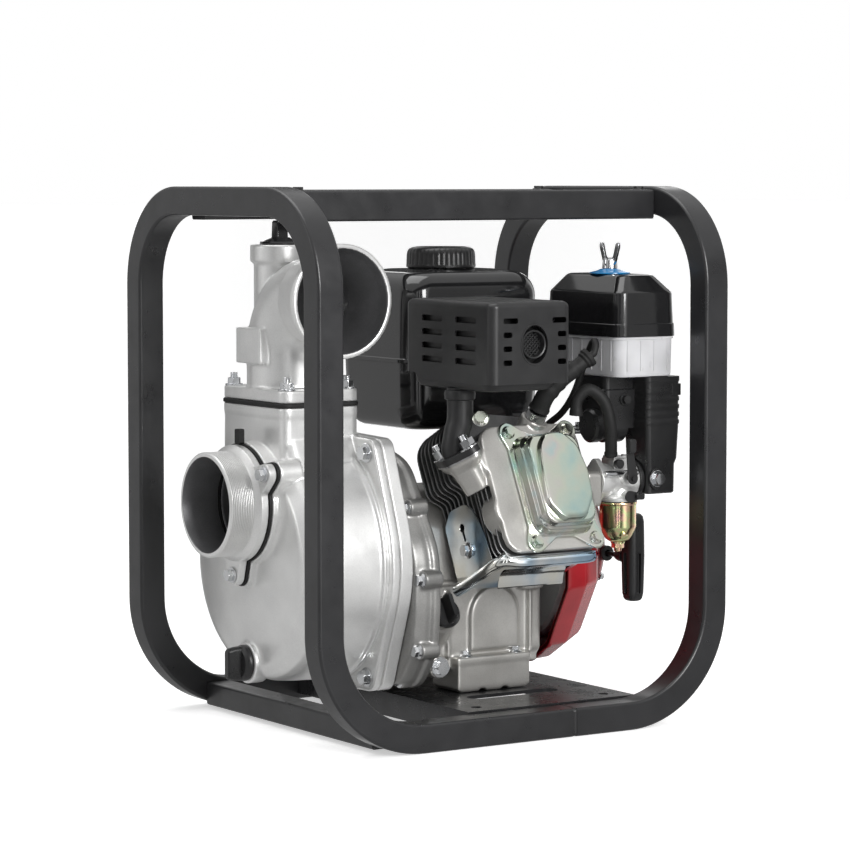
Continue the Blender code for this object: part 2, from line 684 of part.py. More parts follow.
def crankshaft():
    shaft = turned("crankshaft", [(0, -0.1065), (0.0088, -0.1065), (0.0088, -0.066), (0.0125, -0.064),
                                  (0.0125, 0.022), (0, 0.022)], "machined_steel", CRANK, Y_AXIS, 16)
    nose = turned("nose", [(0, 0.068), (0.0125, 0.068), (0.0125, 0.096), (0.0105, 0.100), (0.0105, 0.136),
                           (0, 0.136)], "machined_steel", CRANK, Y_AXIS, 16)
    throw = 0.022
    pin_x, pin_z = -throw * sin(CYLINDER_TILT), throw * cos(CYLINDER_TILT)
    web = hull(circle(0.013, 16, pin_x, pin_z) + circle(0.026, 16, -pin_x * 0.6, -pin_z * 0.6))
    webs = [prism("web", web, 0.020, 0.030, "machined_steel", ON_CRANK),
            prism("web", web, 0.060, 0.070, "machined_steel", ON_CRANK)]
    pin = prism("pin", circle(0.0115, 14, pin_x, pin_z), 0.028, 0.062, "machined_steel", ON_CRANK)
    join(shaft, webs[0], pin, webs[1], nose)


def flywheel():
    wheel = turned("flywheel", [(0, 0.1040), (0.084, 0.1040), (0.086, 0.108), (0.086, 0.118), (0.060, 0.120),
                                (0.022, 0.120), (0.022, 0.130), (0, 0.130)], "cast_aluminium", CRANK, Y_AXIS, 28)
    fins = []
    for k in range(10):
        a = 2 * pi * k / 10
        turn = Matrix.Rotation(a, 4, "Z")
        outline = [(0.050, -0.0014), (0.080, -0.0014), (0.080, 0.0014), (0.050, 0.0014)]
        fins.append(prism("fin", outline, 0.114, 0.1305, "cast_aluminium", ON_CRANK @ turn))
    join(wheel, *fins)
    cut(wheel, drill(CRANK_X, CRANK_Z, 0.09, 0.14, 0.0108, 20))


EXHAUST_SEAT = Vector((0.0780, -0.0160, 0.2280))
EXHAUST_OUT = Vector((-0.25, -0.45, 0.86)).normalized()
PLUG_SEAT = Vector((0.0775, 0.0600, 0.2590))
PLUG_OUT = Vector((0.50, 0.15, 0.85)).normalized()
BOOT_ROUTE = [PLUG_SEAT + PLUG_OUT * 0.0095, PLUG_SEAT + PLUG_OUT * 0.0240, Vector((0.0970, 0.0730, 0.2930)),
              Vector((0.1030, 0.0870, 0.3040)), Vector((0.1060, 0.0970, 0.3120))]


def exhaust_outline(radius, lug):
    return lobed(radius, [(0.0205, 0, lug), (-0.0205, 0, lug)], 16)


def cylinder_head():
    outline = rounded_box(0.0500, 0.0560, 0.010, 3, HEAD_Y, 0)
    head = prism("cylinder_head", outline, 0.1180, 0.1460, "engine_casting", cylinder_frame())
    under = place(EXHAUST_SEAT, EXHAUST_OUT, -Y_AXIS)
    flange = exhaust_outline(0.0140, 0.0065)
    neck, root = scaled(flange, 0.58, 0.92), scaled(flange, 0.50, 0.85)
    port = lofted("port", [(0, flange), (-0.004, flange), (-0.010, neck), (-0.028, root)], "engine_casting", under)
    inlet = prism("inlet", rounded_box(0.0160, 0.0150, 0.004, 2, CARB_X - 0.004, CARB_Z - 0.006), 0.0936, 0.1070,
                  "engine_casting", ACROSS_Y)
    boss = prism("boss", circle(0.0115, 16), -0.014, 0, "engine_casting", place(PLUG_SEAT, PLUG_OUT))
    join(head, port, inlet, boss)
    chamber = prism("chamber", circle(0.028, 20), 0.11, 0.126, "engine_casting", cylinder_frame(CYLINDER_Y))
    plug = prism("plug", circle(0.0055, 12), -0.0145, 0.02, "engine_casting", place(PLUG_SEAT, PLUG_OUT))
    cut(head, chamber, plug)


def spark_plug():
    turned("spark_plug", [(0, -0.0120), (0.0050, -0.0120), (0.0050, 0.0003), (0.0090, 0.0005), (0.0090, 0.0070),
                          (0.0045, 0.0085), (0.0040, 0.0200), (0.0025, 0.0210), (0.0025, 0.0260), (0, 0.0260)],
           "machined_steel", PLUG_SEAT, PLUG_OUT, 12)


def plug_boot():
    """Rubber cap pushed over the plug, leaning out between the guard and the air cleaner."""
    boot = swept("plug_boot", smooth_path(BOOT_ROUTE, 3), circle(0.0085, 12), "rubber")
    well = prism("well", circle(0.0052, 12), -0.002, 0.0172, "rubber", place(BOOT_ROUTE[0], PLUG_OUT))
    cut(boot, well)


def ignition_lead():
    """Lead held at both ends: from the boot over the cylinder to the coil under the fan housing's top."""
    end = smooth_path(BOOT_ROUTE, 3)
    along = (end[-1] - end[-2]).normalized()
    route = [end[-1] + along * 0.0006, end[-1] + along * 0.0050, (0.1040, 0.1045, 0.3230), (0.0960, 0.1065, 0.3220),
             (0.0840, 0.1065, 0.3030), (0.0720, 0.1060, 0.2800), (0.0560, 0.1050, 0.2620), (0.0360, 0.1040, 0.2500),
             (0.0180, 0.1030, 0.2385)]
    swept("ignition_lead", smooth_path(route, 2), circle(0.0030, 8), "rubber")


COVER_Y = 0.0565


def valve_cover():
    """Pressed sheet cover: a flange with an ear at each corner and hollow sides, and a stepped dome."""
    shapes = [hull(rounded_box(0.0345, 0.0465, 0.014, 4))]
    for sx in (1, -1):
        for sy in (1, -1):
            shapes.append(hull(circle(0.0090, 16, sx * 0.0300, sy * 0.0490) + circle(0.0180, 16, sx * 0.012, sy * 0.027)))
    flange = []
    for k in range(72):
        direction = Vector((cos(2 * pi * k / 72), sin(2 * pi * k / 72)))
        reach = max(crossing(direction, shape) for shape in shapes)
        flange.append((direction.x * reach, direction.y * reach))
    face = cylinder_frame(COVER_Y)
    skirt = rounded_box(0.0315, 0.0455, 0.013, 3)
    cover = prism("valve_cover", flange, 0.1463, 0.1495, "zinc_yellow", face)
    box = lofted("box", [(0.1480, skirt), (0.1600, scaled(skirt, 0.96)), (0.1640, scaled(skirt, 0.90)),
                         (0.1700, scaled(skirt, 0.80, 0.82)), (0.1715, scaled(skirt, 0.76, 0.78))],
                 "zinc_yellow", face)
    join(cover, box)
    inside = lofted("inside", [(0.140, scaled(skirt, 0.93)), (0.158, scaled(skirt, 0.90)),
                               (0.1685, scaled(skirt, 0.74, 0.76))], "zinc_yellow", face)
    cut(cover, inside)


def air_shroud():
    """Bright folded sheet beside and under the cylinder that keeps the fan's air on the fins."""
    side = cylinder_block("air_shroud", (0.0660, 0.1150), (-0.0570, 0.006), (-0.0025, -0.0010), "bright_zinc")
    floor = cylinder_block("floor", (0.0660, 0.1400), (-0.0595, -0.0565), (-0.0025, 0.0880), "bright_zinc")
    join(side, floor)


def fan_outline():
    """Flat-sided bowl: straight lower facets, fuller at the top corner beside the carburettor."""
    corners = [(0.086, -0.026), (0.060, -0.073), (0.038, -0.086), (-0.038, -0.086), (-0.064, -0.070), (-0.086, -0.030),
               (-0.086, 0.034), (-0.062, 0.072), (-0.036, 0.083), (0.036, 0.080), (0.074, 0.058), (0.086, 0.034)]
    return hull([point for x, z in corners for point in circle(0.012, 16, x, z)])


def fan_housing():
    big = fan_outline()
    small = scaled(big, 0.80)
    shell = lofted("fan_housing", [(HOUSING_BACK, big), (0.118, scaled(big, 0.985)), (0.136, scaled(big, 0.90)),
                                   (HOUSING_FRONT, small)], "housing_red", ON_CRANK)
    hollow = lofted("hollow", [(0.09, scaled(big, 0.965)), (0.117, scaled(big, 0.955)), (0.134, scaled(big, 0.872)),
                               (0.1425, scaled(small, 0.93))], "housing_red", ON_CRANK)
    eye = prism("eye", circle(0.052, 24), 0.13, 0.16, "housing_red", ON_CRANK)
    cut(shell, hollow, eye)


ROPE_Z = 0.135
ROPE_Y = 0.160


def recoil_cover():
    shell = turned("recoil_cover", [(0, 0.1470), (0.0052, 0.1470), (0.0052, 0.1690), (0.0550, 0.1680),
                                    (0.0585, 0.1500), (0.0585, 0.1463), (0.0630, 0.1463), (0.0615, 0.1600),
                                    (0.0540, 0.1700), (0.0300, RECOIL_FRONT), (0, RECOIL_FRONT)],
                   "housing_red", CRANK, Y_AXIS, 28)
    guide = prism("guide", circle(0.0065, 12, ROPE_Y, ROPE_Z), 0.030, 0.0470, "housing_red", ACROSS_X)
    join(shell, guide)
    cut(shell, prism("rope_hole", circle(0.0032, 10, ROPE_Y, ROPE_Z), 0.02, 0.06, "housing_red", ACROSS_X))


def starter_reel():
    turned("starter_reel", [(0.0058, 0.1500), (0.0440, 0.1500), (0.0440, 0.1520), (0.0380, 0.1530),
                            (0.0380, 0.1630), (0.0440, 0.1640), (0.0440, 0.1660), (0.0058, 0.1660)],
           "satin_black", CRANK, Y_AXIS, 24)


def starter_grip():
    """T-shaped pull handle with the rope's end and its knot sleeve."""
    bar = lofted("starter_grip", [(0.097, rounded_box(0.0060, 0.0055, 0.003, 2)),
                                  (0.104, rounded_box(0.0082, 0.0076, 0.004, 2)),
                                  (0.135, rounded_box(0.0090, 0.0084, 0.004, 2)),
                                  (0.166, rounded_box(0.0084, 0.0078, 0.004, 2)),
                                  (0.173, rounded_box(0.0060, 0.0055, 0.003, 2))],
                 "satin_black", Matrix.Translation((0.081, 0.162, 0)))
    rope = prism("rope", circle(0.0022, 10, ROPE_Y, ROPE_Z), 0.0475, 0.075, "satin_black", ACROSS_X)
    sleeve = prism("sleeve", circle(0.0050, 12, ROPE_Y, ROPE_Z), 0.062, 0.075, "satin_black", ACROSS_X)
    join(bar, rope, sleeve)


TANK_X = -0.0545
TANK_Y = 0.052
TANK_TOP = 0.383


def tank_sections(inset):
    def outline(half_x, half_y, radius):
        return rounded_box(half_x - inset, half_y - inset, radius - inset, 3, TANK_X, TANK_Y)

    lower = [(0.246 + inset, outline(0.046, 0.056, 0.022)), (0.252 + inset * 0.6, outline(0.054, 0.064, 0.022)),
             (0.268, outline(0.0585, 0.069, 0.020)), (0.3040, outline(0.0605, 0.070, 0.018))]
    seam = [] if inset else [(0.3045, outline(0.0640, 0.0735, 0.0215)), (0.3070, outline(0.0640, 0.0735, 0.0215))]
    upper = [(0.3075, outline(0.0605, 0.070, 0.018)), (0.360, outline(0.0585, 0.068, 0.018)),
             (0.376 - inset * 0.6, outline(0.0530, 0.0625, 0.020)), (TANK_TOP - inset, outline(0.0400, 0.050, 0.020))]
    return lower + seam + upper


def fuel_tank():
    tank = lofted("fuel_tank", tank_sections(0), "gloss_black", Matrix.Identity(4))
    hollow = lofted("hollow", tank_sections(0.002), "gloss_black", Matrix.Identity(4))
    filler = prism("filler", circle(0.0185, 20, TANK_X, TANK_Y), 0.37, 0.40, "gloss_black", Matrix.Identity(4))
    cut(tank, hollow, filler)


def fuel_cap():
    origin = (TANK_X, TANK_Y, TANK_TOP + GAP)
    turned("fuel_cap", [(0, -0.008), (0.0165, -0.008), (0.0165, 0), (0.0290, 0), (0.0305, 0.002), (0.0300, 0.0150),
                        (0.0270, 0.0182), (0.0180, 0.0190), (0, 0.0190)], "satin_black", origin, Z_AXIS, 28)


GUARD_LOW = (0.015, -0.0305, 0.2935)
GUARD_HIGH = (0.146, 0.050, 0.3615)
OUTLET = (0.0125, 0.3260)


def guard_sections(inset, low):
    cx, cy = (GUARD_LOW[0] + GUARD_HIGH[0]) / 2, (GUARD_LOW[1] + GUARD_HIGH[1]) / 2
    hx, hy = (GUARD_HIGH[0] - GUARD_LOW[0]) / 2 - inset, (GUARD_HIGH[1] - GUARD_LOW[1]) / 2 - inset
    return [(low, rounded_box(hx, hy, 0.007, 3, cx, cy)),
            (0.3565 - inset, rounded_box(hx, hy, 0.007, 3, cx, cy)),
            (0.3600 - inset, rounded_box(hx - 0.0015, hy - 0.0015, 0.007, 3, cx, cy)),
            (GUARD_HIGH[2] - inset, rounded_box(hx - 0.0045, hy - 0.0045, 0.007, 3, cx, cy))]


def muffler_guard():
    guard = lofted("muffler_guard", guard_sections(0, GUARD_LOW[2]), "satin_black", Matrix.Identity(4))
    hollow = lofted("hollow", guard_sections(0.0016, 0.27), "satin_black", Matrix.Identity(4))
    slots = []
    for row in range(4):
        z = 0.3114 + 0.0114 * row
        for x in (0.0575, 0.1080):
            slots.append(block("slot", (x - 0.016, -0.04, z - 0.0024), (x + 0.016, -0.025, z + 0.0024),
                               "satin_black"))
        for y in (-0.0125, 0.0375):
            slots.append(block("slot", (0.14, y - 0.0055, z - 0.0024), (0.16, y + 0.0055, z + 0.0024),
                               "satin_black"))
    outlet = prism("outlet", circle(0.0145, 20, *OUTLET), 0.14, 0.16, "satin_black", ACROSS_X)
    cut(guard, hollow, outlet, *slots)


def muffler():
    full, edge = rounded_box(0.0540, 0.0340, 0.012, 2), rounded_box(0.0510, 0.0310, 0.010, 2)
    can = lofted("muffler", [(0.2960, edge), (0.2990, full), (0.3490, full), (0.3520, edge)], "satin_black",
                 Matrix.Translation((0.0805, 0.0080, 0)))
    tail = prism("tail", circle(0.0120, 18, *OUTLET), 0.12, 0.1455, "satin_black", ACROSS_X)
    join(can, tail)
    cut(can, prism("bore", circle(0.0105, 18, *OUTLET), 0.1365, 0.15, "satin_black", ACROSS_X))


def exhaust_pipe():
    """Pipe welded to a sloping two-stud flange."""
    flange = prism("exhaust_pipe", exhaust_outline(0.0140, 0.0065), GAP, 0.0055, "satin_black",
                   place(EXHAUST_SEAT, EXHAUST_OUT, -Y_AXIS))
    x, y, z = EXHAUST_SEAT
    pipe = prism("pipe", circle(0.0110, 20, x, y), z + 0.0075, 0.2957, "satin_black", Matrix.Identity(4))
    root = prism("root", circle(0.0108, 20), 0.003, 0.0135, "satin_black",
                 place(EXHAUST_SEAT, EXHAUST_OUT, -Y_AXIS))
    join(flange, root, pipe)


CLEANER_X = 0.0695
CLEANER_Y = 0.145
CLEANER_HALF_X = 0.0555
CLEANER_HALF_Y = 0.032
STUD = (0.074, 0.141)


def cleaner_outline(inset, radius=0.008):
    return rounded_box(CLEANER_HALF_X - inset, CLEANER_HALF_Y - inset, radius, 3, CLEANER_X, CLEANER_Y)


def air_cleaner_case():
    case = lofted("air_cleaner_case", [(0.2937, cleaner_outline(0.006)), (0.2980, cleaner_outline(0.002)),
                                       (0.3277, cleaner_outline(0.002))], "filter_white", Matrix.Identity(4))
    hollow = prism("hollow", cleaner_outline(0.0045, 0.006), 0.2975, 0.34, "filter_white", Matrix.Identity(4))
    cut(case, hollow)
    stud = prism("stud", circle(0.0030, 10, *STUD), 0.296, 0.392, "filter_white", Matrix.Identity(4))
    outlet = prism("outlet", rounded_box(0.012, 0.010, 0.003, 2, 0.104, 0.160), 0.29, 0.31, "filter_white",
                   Matrix.Identity(4))
    join(case, stud)
    cut(case, outlet)


def air_cleaner_cover():
    cover = lofted("air_cleaner_cover", [(0.3280, cleaner_outline(0)), (0.3660, cleaner_outline(0.002)),
                                         (0.3800, cleaner_outline(0.012))], "gloss_black", Matrix.Identity(4))
    hollow = lofted("hollow", [(0.32, cleaner_outline(0.002)), (0.3650, cleaner_outline(0.004)),
                               (0.3780, cleaner_outline(0.0135))], "gloss_black", Matrix.Identity(4))
    hole = prism("hole", circle(0.0036, 12, *STUD), 0.37, 0.39, "gloss_black", Matrix.Identity(4))
    cut(cover, hollow, hole)


def filter_element():
    element = prism("filter_element", cleaner_outline(0.0085, 0.006), 0.3015, 0.3640, "foam", Matrix.Identity(4))
    middle = prism("middle", cleaner_outline(0.0170, 0.004), 0.29, 0.37, "foam", Matrix.Identity(4))
    cut(element, middle)


def wing_nut():
    origin = (STUD[0], STUD[1], 0.3803)
    nut = turned("wing_nut", [(0, 0), (0.0175, 0), (0.0175, 0.0012), (0.0110, 0.0032), (0.0060, 0.0062),
                              (0.0060, 0.0120), (0, 0.0135)], "bright_zinc", origin, Z_AXIS, 24)
    for side in (1, -1):
        outline = [(side * 0.003, 0.006), (side * 0.008, 0.008), (side * 0.0135, 0.026), (side * 0.0085, 0.027),
                   (side * 0.003, 0.014)]
        join(nut, prism("wing", outline, -0.0011, 0.0011, "bright_zinc",
                        Matrix.Translation(origin) @ ACROSS_Y))
    cut(nut, prism("bore", circle(0.0034, 12), -0.01, 0.0122, "bright_zinc", Matrix.Translation(origin)))


def intake_elbow():
    duct = prism("intake_elbow", rounded_box(0.018, 0.018, 0.004, 2, 0.104, 0.164), 0.1930, 0.2934,
                 "satin_black", Matrix.Identity(4))
    base = block("base", (0.060, 0.1150, 0.2490), (0.104, 0.1500, 0.2934), "satin_black")
    collar = prism("collar", circle(0.0150, 20, CARB_X, CARB_Z), 0.1459, 0.150, "satin_black", ACROSS_Y)
    join(duct, base, collar)
    hollow = prism("hollow", rounded_box(0.0155, 0.0155, 0.002, 1, 0.104, 0.164), 0.1955, 0.30, "satin_black",
                   Matrix.Identity(4))
    throat = prism("throat", circle(0.0105, 18, CARB_X, CARB_Z), 0.14, 0.155, "satin_black", ACROSS_Y)
    cut(duct, hollow, throat)


def carburettor():
    body = prism("carburettor", circle(0.0160, 20, CARB_X, CARB_Z), 0.1110, 0.1440, "cast_aluminium", ACROSS_Y)
    parts = [prism("mount", rounded_box(0.0180, 0.0160, 0.004, 2, CARB_X, CARB_Z), 0.1073, 0.1150,
                   "cast_aluminium", ACROSS_Y),
             prism("mount", rounded_box(0.0180, 0.0160, 0.004, 2, CARB_X, CARB_Z), 0.1420, 0.1456,
                   "cast_aluminium", ACROSS_Y),
             prism("seat", circle(0.0122, 20, CARB_X, CARB_Y), 0.1868, 0.200, "cast_aluminium",
                   Matrix.Identity(4)),
             block("top", (CARB_X - 0.010, 0.122, 0.215), (CARB_X + 0.010, 0.138, 0.226), "cast_aluminium"),
             prism("choke_boss", circle(0.0045, 12, CHOKE_PIVOT.y, CHOKE_PIVOT.z), 0.1050, 0.1166, "cast_aluminium",
                   ACROSS_X),
             prism("valve_boss", circle(0.0042, 12, FUEL_PIVOT.y, FUEL_PIVOT.z), 0.1000, 0.1163, "cast_aluminium",
                   ACROSS_X)]
    join(body, *parts)
    cut(body, prism("throat", circle(0.0095, 18, CARB_X, CARB_Z), 0.10, 0.15, "cast_aluminium", ACROSS_Y))


def float_bowl():
    turned("float_bowl", [(0.0145, 0), (0.0165, 0), (0.0165, -0.0240), (0.0120, -0.0330), (0.0055, -0.0360),
                          (0.0055, -0.0420), (0, -0.0430), (0, -0.0330), (0.0100, -0.0300), (0.0145, -0.0220)],
           "bowl_gold", (CARB_X, CARB_Y, 0.1865), Z_AXIS, 20)


CHOKE_PIVOT = Vector((0.1233, 0.1300, 0.2080))
THROTTLE_PIVOT = Vector((0.0520, 0.1260, 0.2480))
FUEL_PIVOT = Vector((0.1173, 0.1315, 0.1920))


def choke_lever():
    frame = Matrix.Translation((0, CHOKE_PIVOT.y, CHOKE_PIVOT.z)) @ ACROSS_X
    outline = hull(circle(0.0050, 14) + circle(0.0032, 12, -0.004, 0.028))
    arm = prism("choke_lever", outline, 0.1226, 0.1241, "satin_black", frame, CHOKE_PIVOT)
    knob = prism("knob", rounded_box(0.0036, 0.0060, 0.002, 2, -0.004, 0.028), 0.1236, 0.1296, "satin_black", frame)
    pin = prism("pin", circle(0.0022, 10), 0.1170, 0.1260, "satin_black", frame)
    join(arm, knob, pin)


def fuel_valve():
    """The short lever that turns the fuel valve above the bowl."""
    frame = Matrix.Translation((0, FUEL_PIVOT.y, FUEL_PIVOT.z)) @ ACROSS_X
    lever = prism("fuel_valve_lever", hull(circle(0.0050, 14) + circle(0.0030, 12, 0.0085, 0)), 0.1166, 0.1183,
                  "satin_black", frame, FUEL_PIVOT)
    tip = prism("tip", rounded_box(0.0042, 0.0028, 0.002, 2, 0.0088, 0), 0.1175, 0.1215, "satin_black", frame)
    join(lever, tip)


def control_plate():
    plate = prism("control_plate", rounded_box(0.0260, 0.0180, 0.005, 3, 0.054, 0.1300), 0.2440, 0.2458,
                  "bright_zinc", Matrix.Identity(4))
    tab = block("tab", (0.0300, 0.1250, 0.2410), (0.0480, 0.1450, 0.2445), "bright_zinc")
    return join(plate, tab)


def throttle_lever():
    frame = Matrix.Translation(THROTTLE_PIVOT)
    arm = prism("throttle_lever", hull(circle(0.0085, 16) + circle(0.0042, 12, 0.004, 0.040)), -0.0019, 0.0001,
                "bright_zinc", frame, THROTTLE_PIVOT)
    knob = prism("knob", rounded_box(0.0060, 0.0075, 0.003, 2, 0.004, 0.041), -0.0040, 0.0050, "bright_zinc", frame)
    screw = prism("screw", circle(0.0045, 6), -0.001, 0.0040, "bright_zinc", frame)
    join(arm, knob, screw)


def breather_hose():
    route = [(0.1030, 0.0850, 0.2620), (0.1040, 0.0860, 0.2760), (0.1090, 0.0945, 0.2840), (0.1140, 0.1060, 0.2740),
             (0.1150, 0.1120, 0.2550), (0.1110, 0.1160, 0.2360), (0.1080, 0.1180, 0.2275)]
    swept("breather_hose", smooth_path(route, 2), circle(0.0052, 10), "rubber")


def stop_switch():
    origin = (-0.0730, HOUSING_FRONT + GAP, 0.1905)
    knob = turned("stop_switch", [(0, 0), (0.0065, 0), (0.0065, 0.004), (0.0055, 0.006), (0, 0.006)], "satin_black",
                  origin, Y_AXIS, 16)
    grip = prism("grip", rounded_box(0.0018, 0.0058, 0.0015, 1), 0.005, 0.012, "satin_black", place(origin, Y_AXIS))
    join(knob, grip)


def build():
    clear_scene()
    frame_parts()
    pump_casing()
    pump_back_cover()
    suction_flange()
    suction_gasket()
    suction_bolts()
    casing_bolts()
    check_flap()
    elbow_gasket()
    discharge_elbow()
    priming_plug()
    drain_plug()
    impeller()
    volute_insert()
    mechanical_seal()
    side_cover()
    crankcase()
    oil_cap()
    crankshaft()
    flywheel()
    cylinder_head()
    spark_plug()
    plug_boot()
    ignition_lead()
    valve_cover()
    air_shroud()
    fan_housing()
    recoil_cover()
    starter_reel()
    starter_grip()
    fuel_tank()
    fuel_cap()
    muffler_guard()
    muffler()
    exhaust_pipe()
    air_cleaner_case()
    air_cleaner_cover()
    filter_element()
    wing_nut()
    intake_elbow()
    carburettor()
    float_bowl()
    choke_lever()
    fuel_valve()
    control_plate()
    throttle_lever()
    breather_hose()
    stop_switch()


build()
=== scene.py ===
"""Looks for the gas engine trash pump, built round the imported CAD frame. Metres, +Z up; inside mm() millimetres.

+Y runs along the crankshaft from the pump to the recoil starter, and +X points to the cylinder head.
"""

from math import asin, atan2, cos, hypot, pi, radians, sin, sqrt

import bmesh
import bpy
from mathutils import Matrix, Vector


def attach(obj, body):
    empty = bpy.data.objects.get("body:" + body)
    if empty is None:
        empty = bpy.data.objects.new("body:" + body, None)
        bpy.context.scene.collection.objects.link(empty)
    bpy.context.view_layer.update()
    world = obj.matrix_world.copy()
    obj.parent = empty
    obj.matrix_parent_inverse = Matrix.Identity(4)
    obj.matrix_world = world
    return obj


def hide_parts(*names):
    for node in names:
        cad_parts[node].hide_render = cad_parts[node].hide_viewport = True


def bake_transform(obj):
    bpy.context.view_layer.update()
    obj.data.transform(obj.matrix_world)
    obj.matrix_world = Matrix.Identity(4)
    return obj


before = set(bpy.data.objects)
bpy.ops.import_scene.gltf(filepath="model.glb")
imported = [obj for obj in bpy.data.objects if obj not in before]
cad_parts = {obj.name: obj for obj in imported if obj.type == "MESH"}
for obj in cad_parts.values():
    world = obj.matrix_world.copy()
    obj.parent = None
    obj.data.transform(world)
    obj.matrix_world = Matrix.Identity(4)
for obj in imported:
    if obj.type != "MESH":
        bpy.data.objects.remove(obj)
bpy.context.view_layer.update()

CRANK_X, CRANK_Z = -0.0245, 0.14
TILT = radians(26)
X_AXIS, Y_AXIS, Z_AXIS = Vector((1, 0, 0)), Vector((0, 1, 0)), Vector((0, 0, 1))
CRANK = Vector((CRANK_X, 0, CRANK_Z))
AXIS = Vector((cos(TILT), 0, sin(TILT)))
UP = Vector((-sin(TILT), 0, cos(TILT)))
NECK_X, NECK_Y = -0.03, -0.1163


# ---------------------------------------------------------------- mesh helpers


def basis(axis, up=None):
    z = Vector(axis).normalized()
    if up is None:
        up = Z_AXIS if abs(z.z) < 0.9 else Y_AXIS
    x = Vector(up).cross(z).normalized()
    return Matrix((x, z.cross(x), z)).transposed().to_4x4()


def place(origin, axis, up=None):
    return Matrix.Translation(Vector(origin)) @ basis(axis, up)


ACROSS_Y = Matrix(((1, 0, 0, 0), (0, 0, 1, 0), (0, 1, 0, 0), (0, 0, 0, 1)))
ACROSS_X = Matrix(((0, 0, 1, 0), (1, 0, 0, 0), (0, 1, 0, 0), (0, 0, 0, 1)))
FLAT = Matrix.Identity(4)
ON_CRANK = Matrix.Translation(CRANK) @ ACROSS_Y
PORT_Z, DRAIN_Z, MOUTH_Z = 0.191, 0.056, 0.361
PORT = Vector((CRANK_X, 0, PORT_Z))
ON_PORT = Matrix.Translation(PORT) @ ACROSS_Y


def cylinder_frame(y=0.0):
    turn = Matrix((Y_AXIS, UP, AXIS)).transposed().to_4x4()
    return Matrix.Translation(CRANK + Y_AXIS * y) @ turn


def on_cylinder(s, w, y):
    return CRANK + AXIS * s + UP * w + Y_AXIS * y


SHARP = 32


def shaded(obj, sharp=SHARP):
    """Smooth shading that stops at edges with more than this many degrees."""
    obj.data.shade_smooth()
    obj.data.set_sharp_from_angle(angle=radians(sharp))
    return obj


def made(name, bm, mat, sharp=SHARP):
    bmesh.ops.remove_doubles(bm, verts=bm.verts, dist=1e-6)
    bmesh.ops.recalc_face_normals(bm, faces=bm.faces)
    mesh = bpy.data.meshes.new(name)
    bm.to_mesh(mesh)
    bm.free()
    if mat:
        mesh.materials.append(mat)
    obj = bpy.data.objects.new(name, mesh)
    bpy.context.scene.collection.objects.link(obj)
    return shaded(obj, sharp)


def mm(*rows):
    """Rows of lengths in millimetres, as metres."""
    return [tuple(length / 1000 for length in row) for row in rows]


def bridge(bm, low, high):
    for i in range(len(low)):
        j = (i + 1) % len(low)
        bm.faces.new((low[i], low[j], high[j], high[i]))


def turned(name, profile, mat, origin, axis, steps=64, sharp=SHARP):
    """A profile of (radius, height) turned round an axis."""
    bm = bmesh.new()
    at = place(origin, axis)
    rings = []
    for radius, height in profile:
        if radius < 1e-7:
            rings.append([bm.verts.new(at @ Vector((0, 0, height)))])
        else:
            rings.append([bm.verts.new(at @ Vector((radius * cos(2 * pi * k / steps),
                    radius * sin(2 * pi * k / steps), height))) for k in range(steps)])
    pairs = list(zip(rings, rings[1:]))
    if len(rings[0]) > 1 or len(rings[-1]) > 1:
        pairs.append((rings[-1], rings[0]))
    for low, high in pairs:
        if len(low) > 1 and len(high) > 1:
            bridge(bm, low, high)
        elif len(low) != len(high):
            point, ring = (low[0], high) if len(low) == 1 else (high[0], low)
            for i in range(steps):
                bm.faces.new((point, ring[i], ring[(i + 1) % steps]))
    return made(name, bm, mat, sharp)


def skinned(name, bm, rings, mat, sharp=SHARP, caps=True):
    for low, high in zip(rings, rings[1:]):
        bridge(bm, low, high)
    if caps:
        bm.faces.new(rings[0])
        bm.faces.new(rings[-1])
    return made(name, bm, mat, sharp)


def lofted(name, sections, mat, at, sharp=SHARP, caps=True):
    """A skin over sections of (height, outline)."""
    bm = bmesh.new()
    rings = [[bm.verts.new(at @ Vector((x, y, h))) for x, y in outline] for h, outline in sections]
    return skinned(name, bm, rings, mat, sharp, caps)


def prism(name, outline, low, high, mat, at, sharp=SHARP):
    return lofted(name, [(low, outline), (high, outline)], mat, at, sharp)


def block(name, low, high, mat):
    outline = [(low[0], low[1]), (high[0], low[1]), (high[0], high[1]), (low[0], high[1])]
    return prism(name, outline, low[2], high[2], mat, FLAT)


def swept(name, points, section, mat, up=None, widths=None, sharp=SHARP):
    """A section carried along a line of points."""
    bm = bmesh.new()
    path = [Vector(p) for p in points]
    tangents = []
    for i in range(len(path)):
        ahead = path[min(i + 1, len(path) - 1)] - path[i]
        behind = path[i] - path[max(i - 1, 0)]
        tangents.append((ahead.normalized() + behind.normalized()).normalized())
    turn = basis(tangents[0], up).to_3x3()
    rings = []
    for i, point in enumerate(path):
        if i:
            turn = tangents[i - 1].rotation_difference(tangents[i]).to_matrix() @ turn
        size = widths[i] if widths else 1
        rings.append([bm.verts.new(point + turn @ Vector((x * size, y * size, 0))) for x, y in section])
    return skinned(name, bm, rings, mat, sharp)


def circle(radius, steps=48, cx=0.0, cy=0.0, start=0.0):
    return [(cx + radius * cos(start + 2 * pi * k / steps), cy + radius * sin(start + 2 * pi * k / steps))
            for k in range(steps)]


def rounded_box(half_x, half_y, radius, steps=8, cx=0.0, cy=0.0):
    points = []
    for corner, (sx, sy) in enumerate(((1, 1), (-1, 1), (-1, -1), (1, -1))):
        for k in range(steps + 1):
            angle = pi / 2 * (corner + k / steps)
            points.append((cx + sx * (half_x - radius) + radius * cos(angle), cy + sy * (half_y - radius)
                    + radius * sin(angle)))
    return points


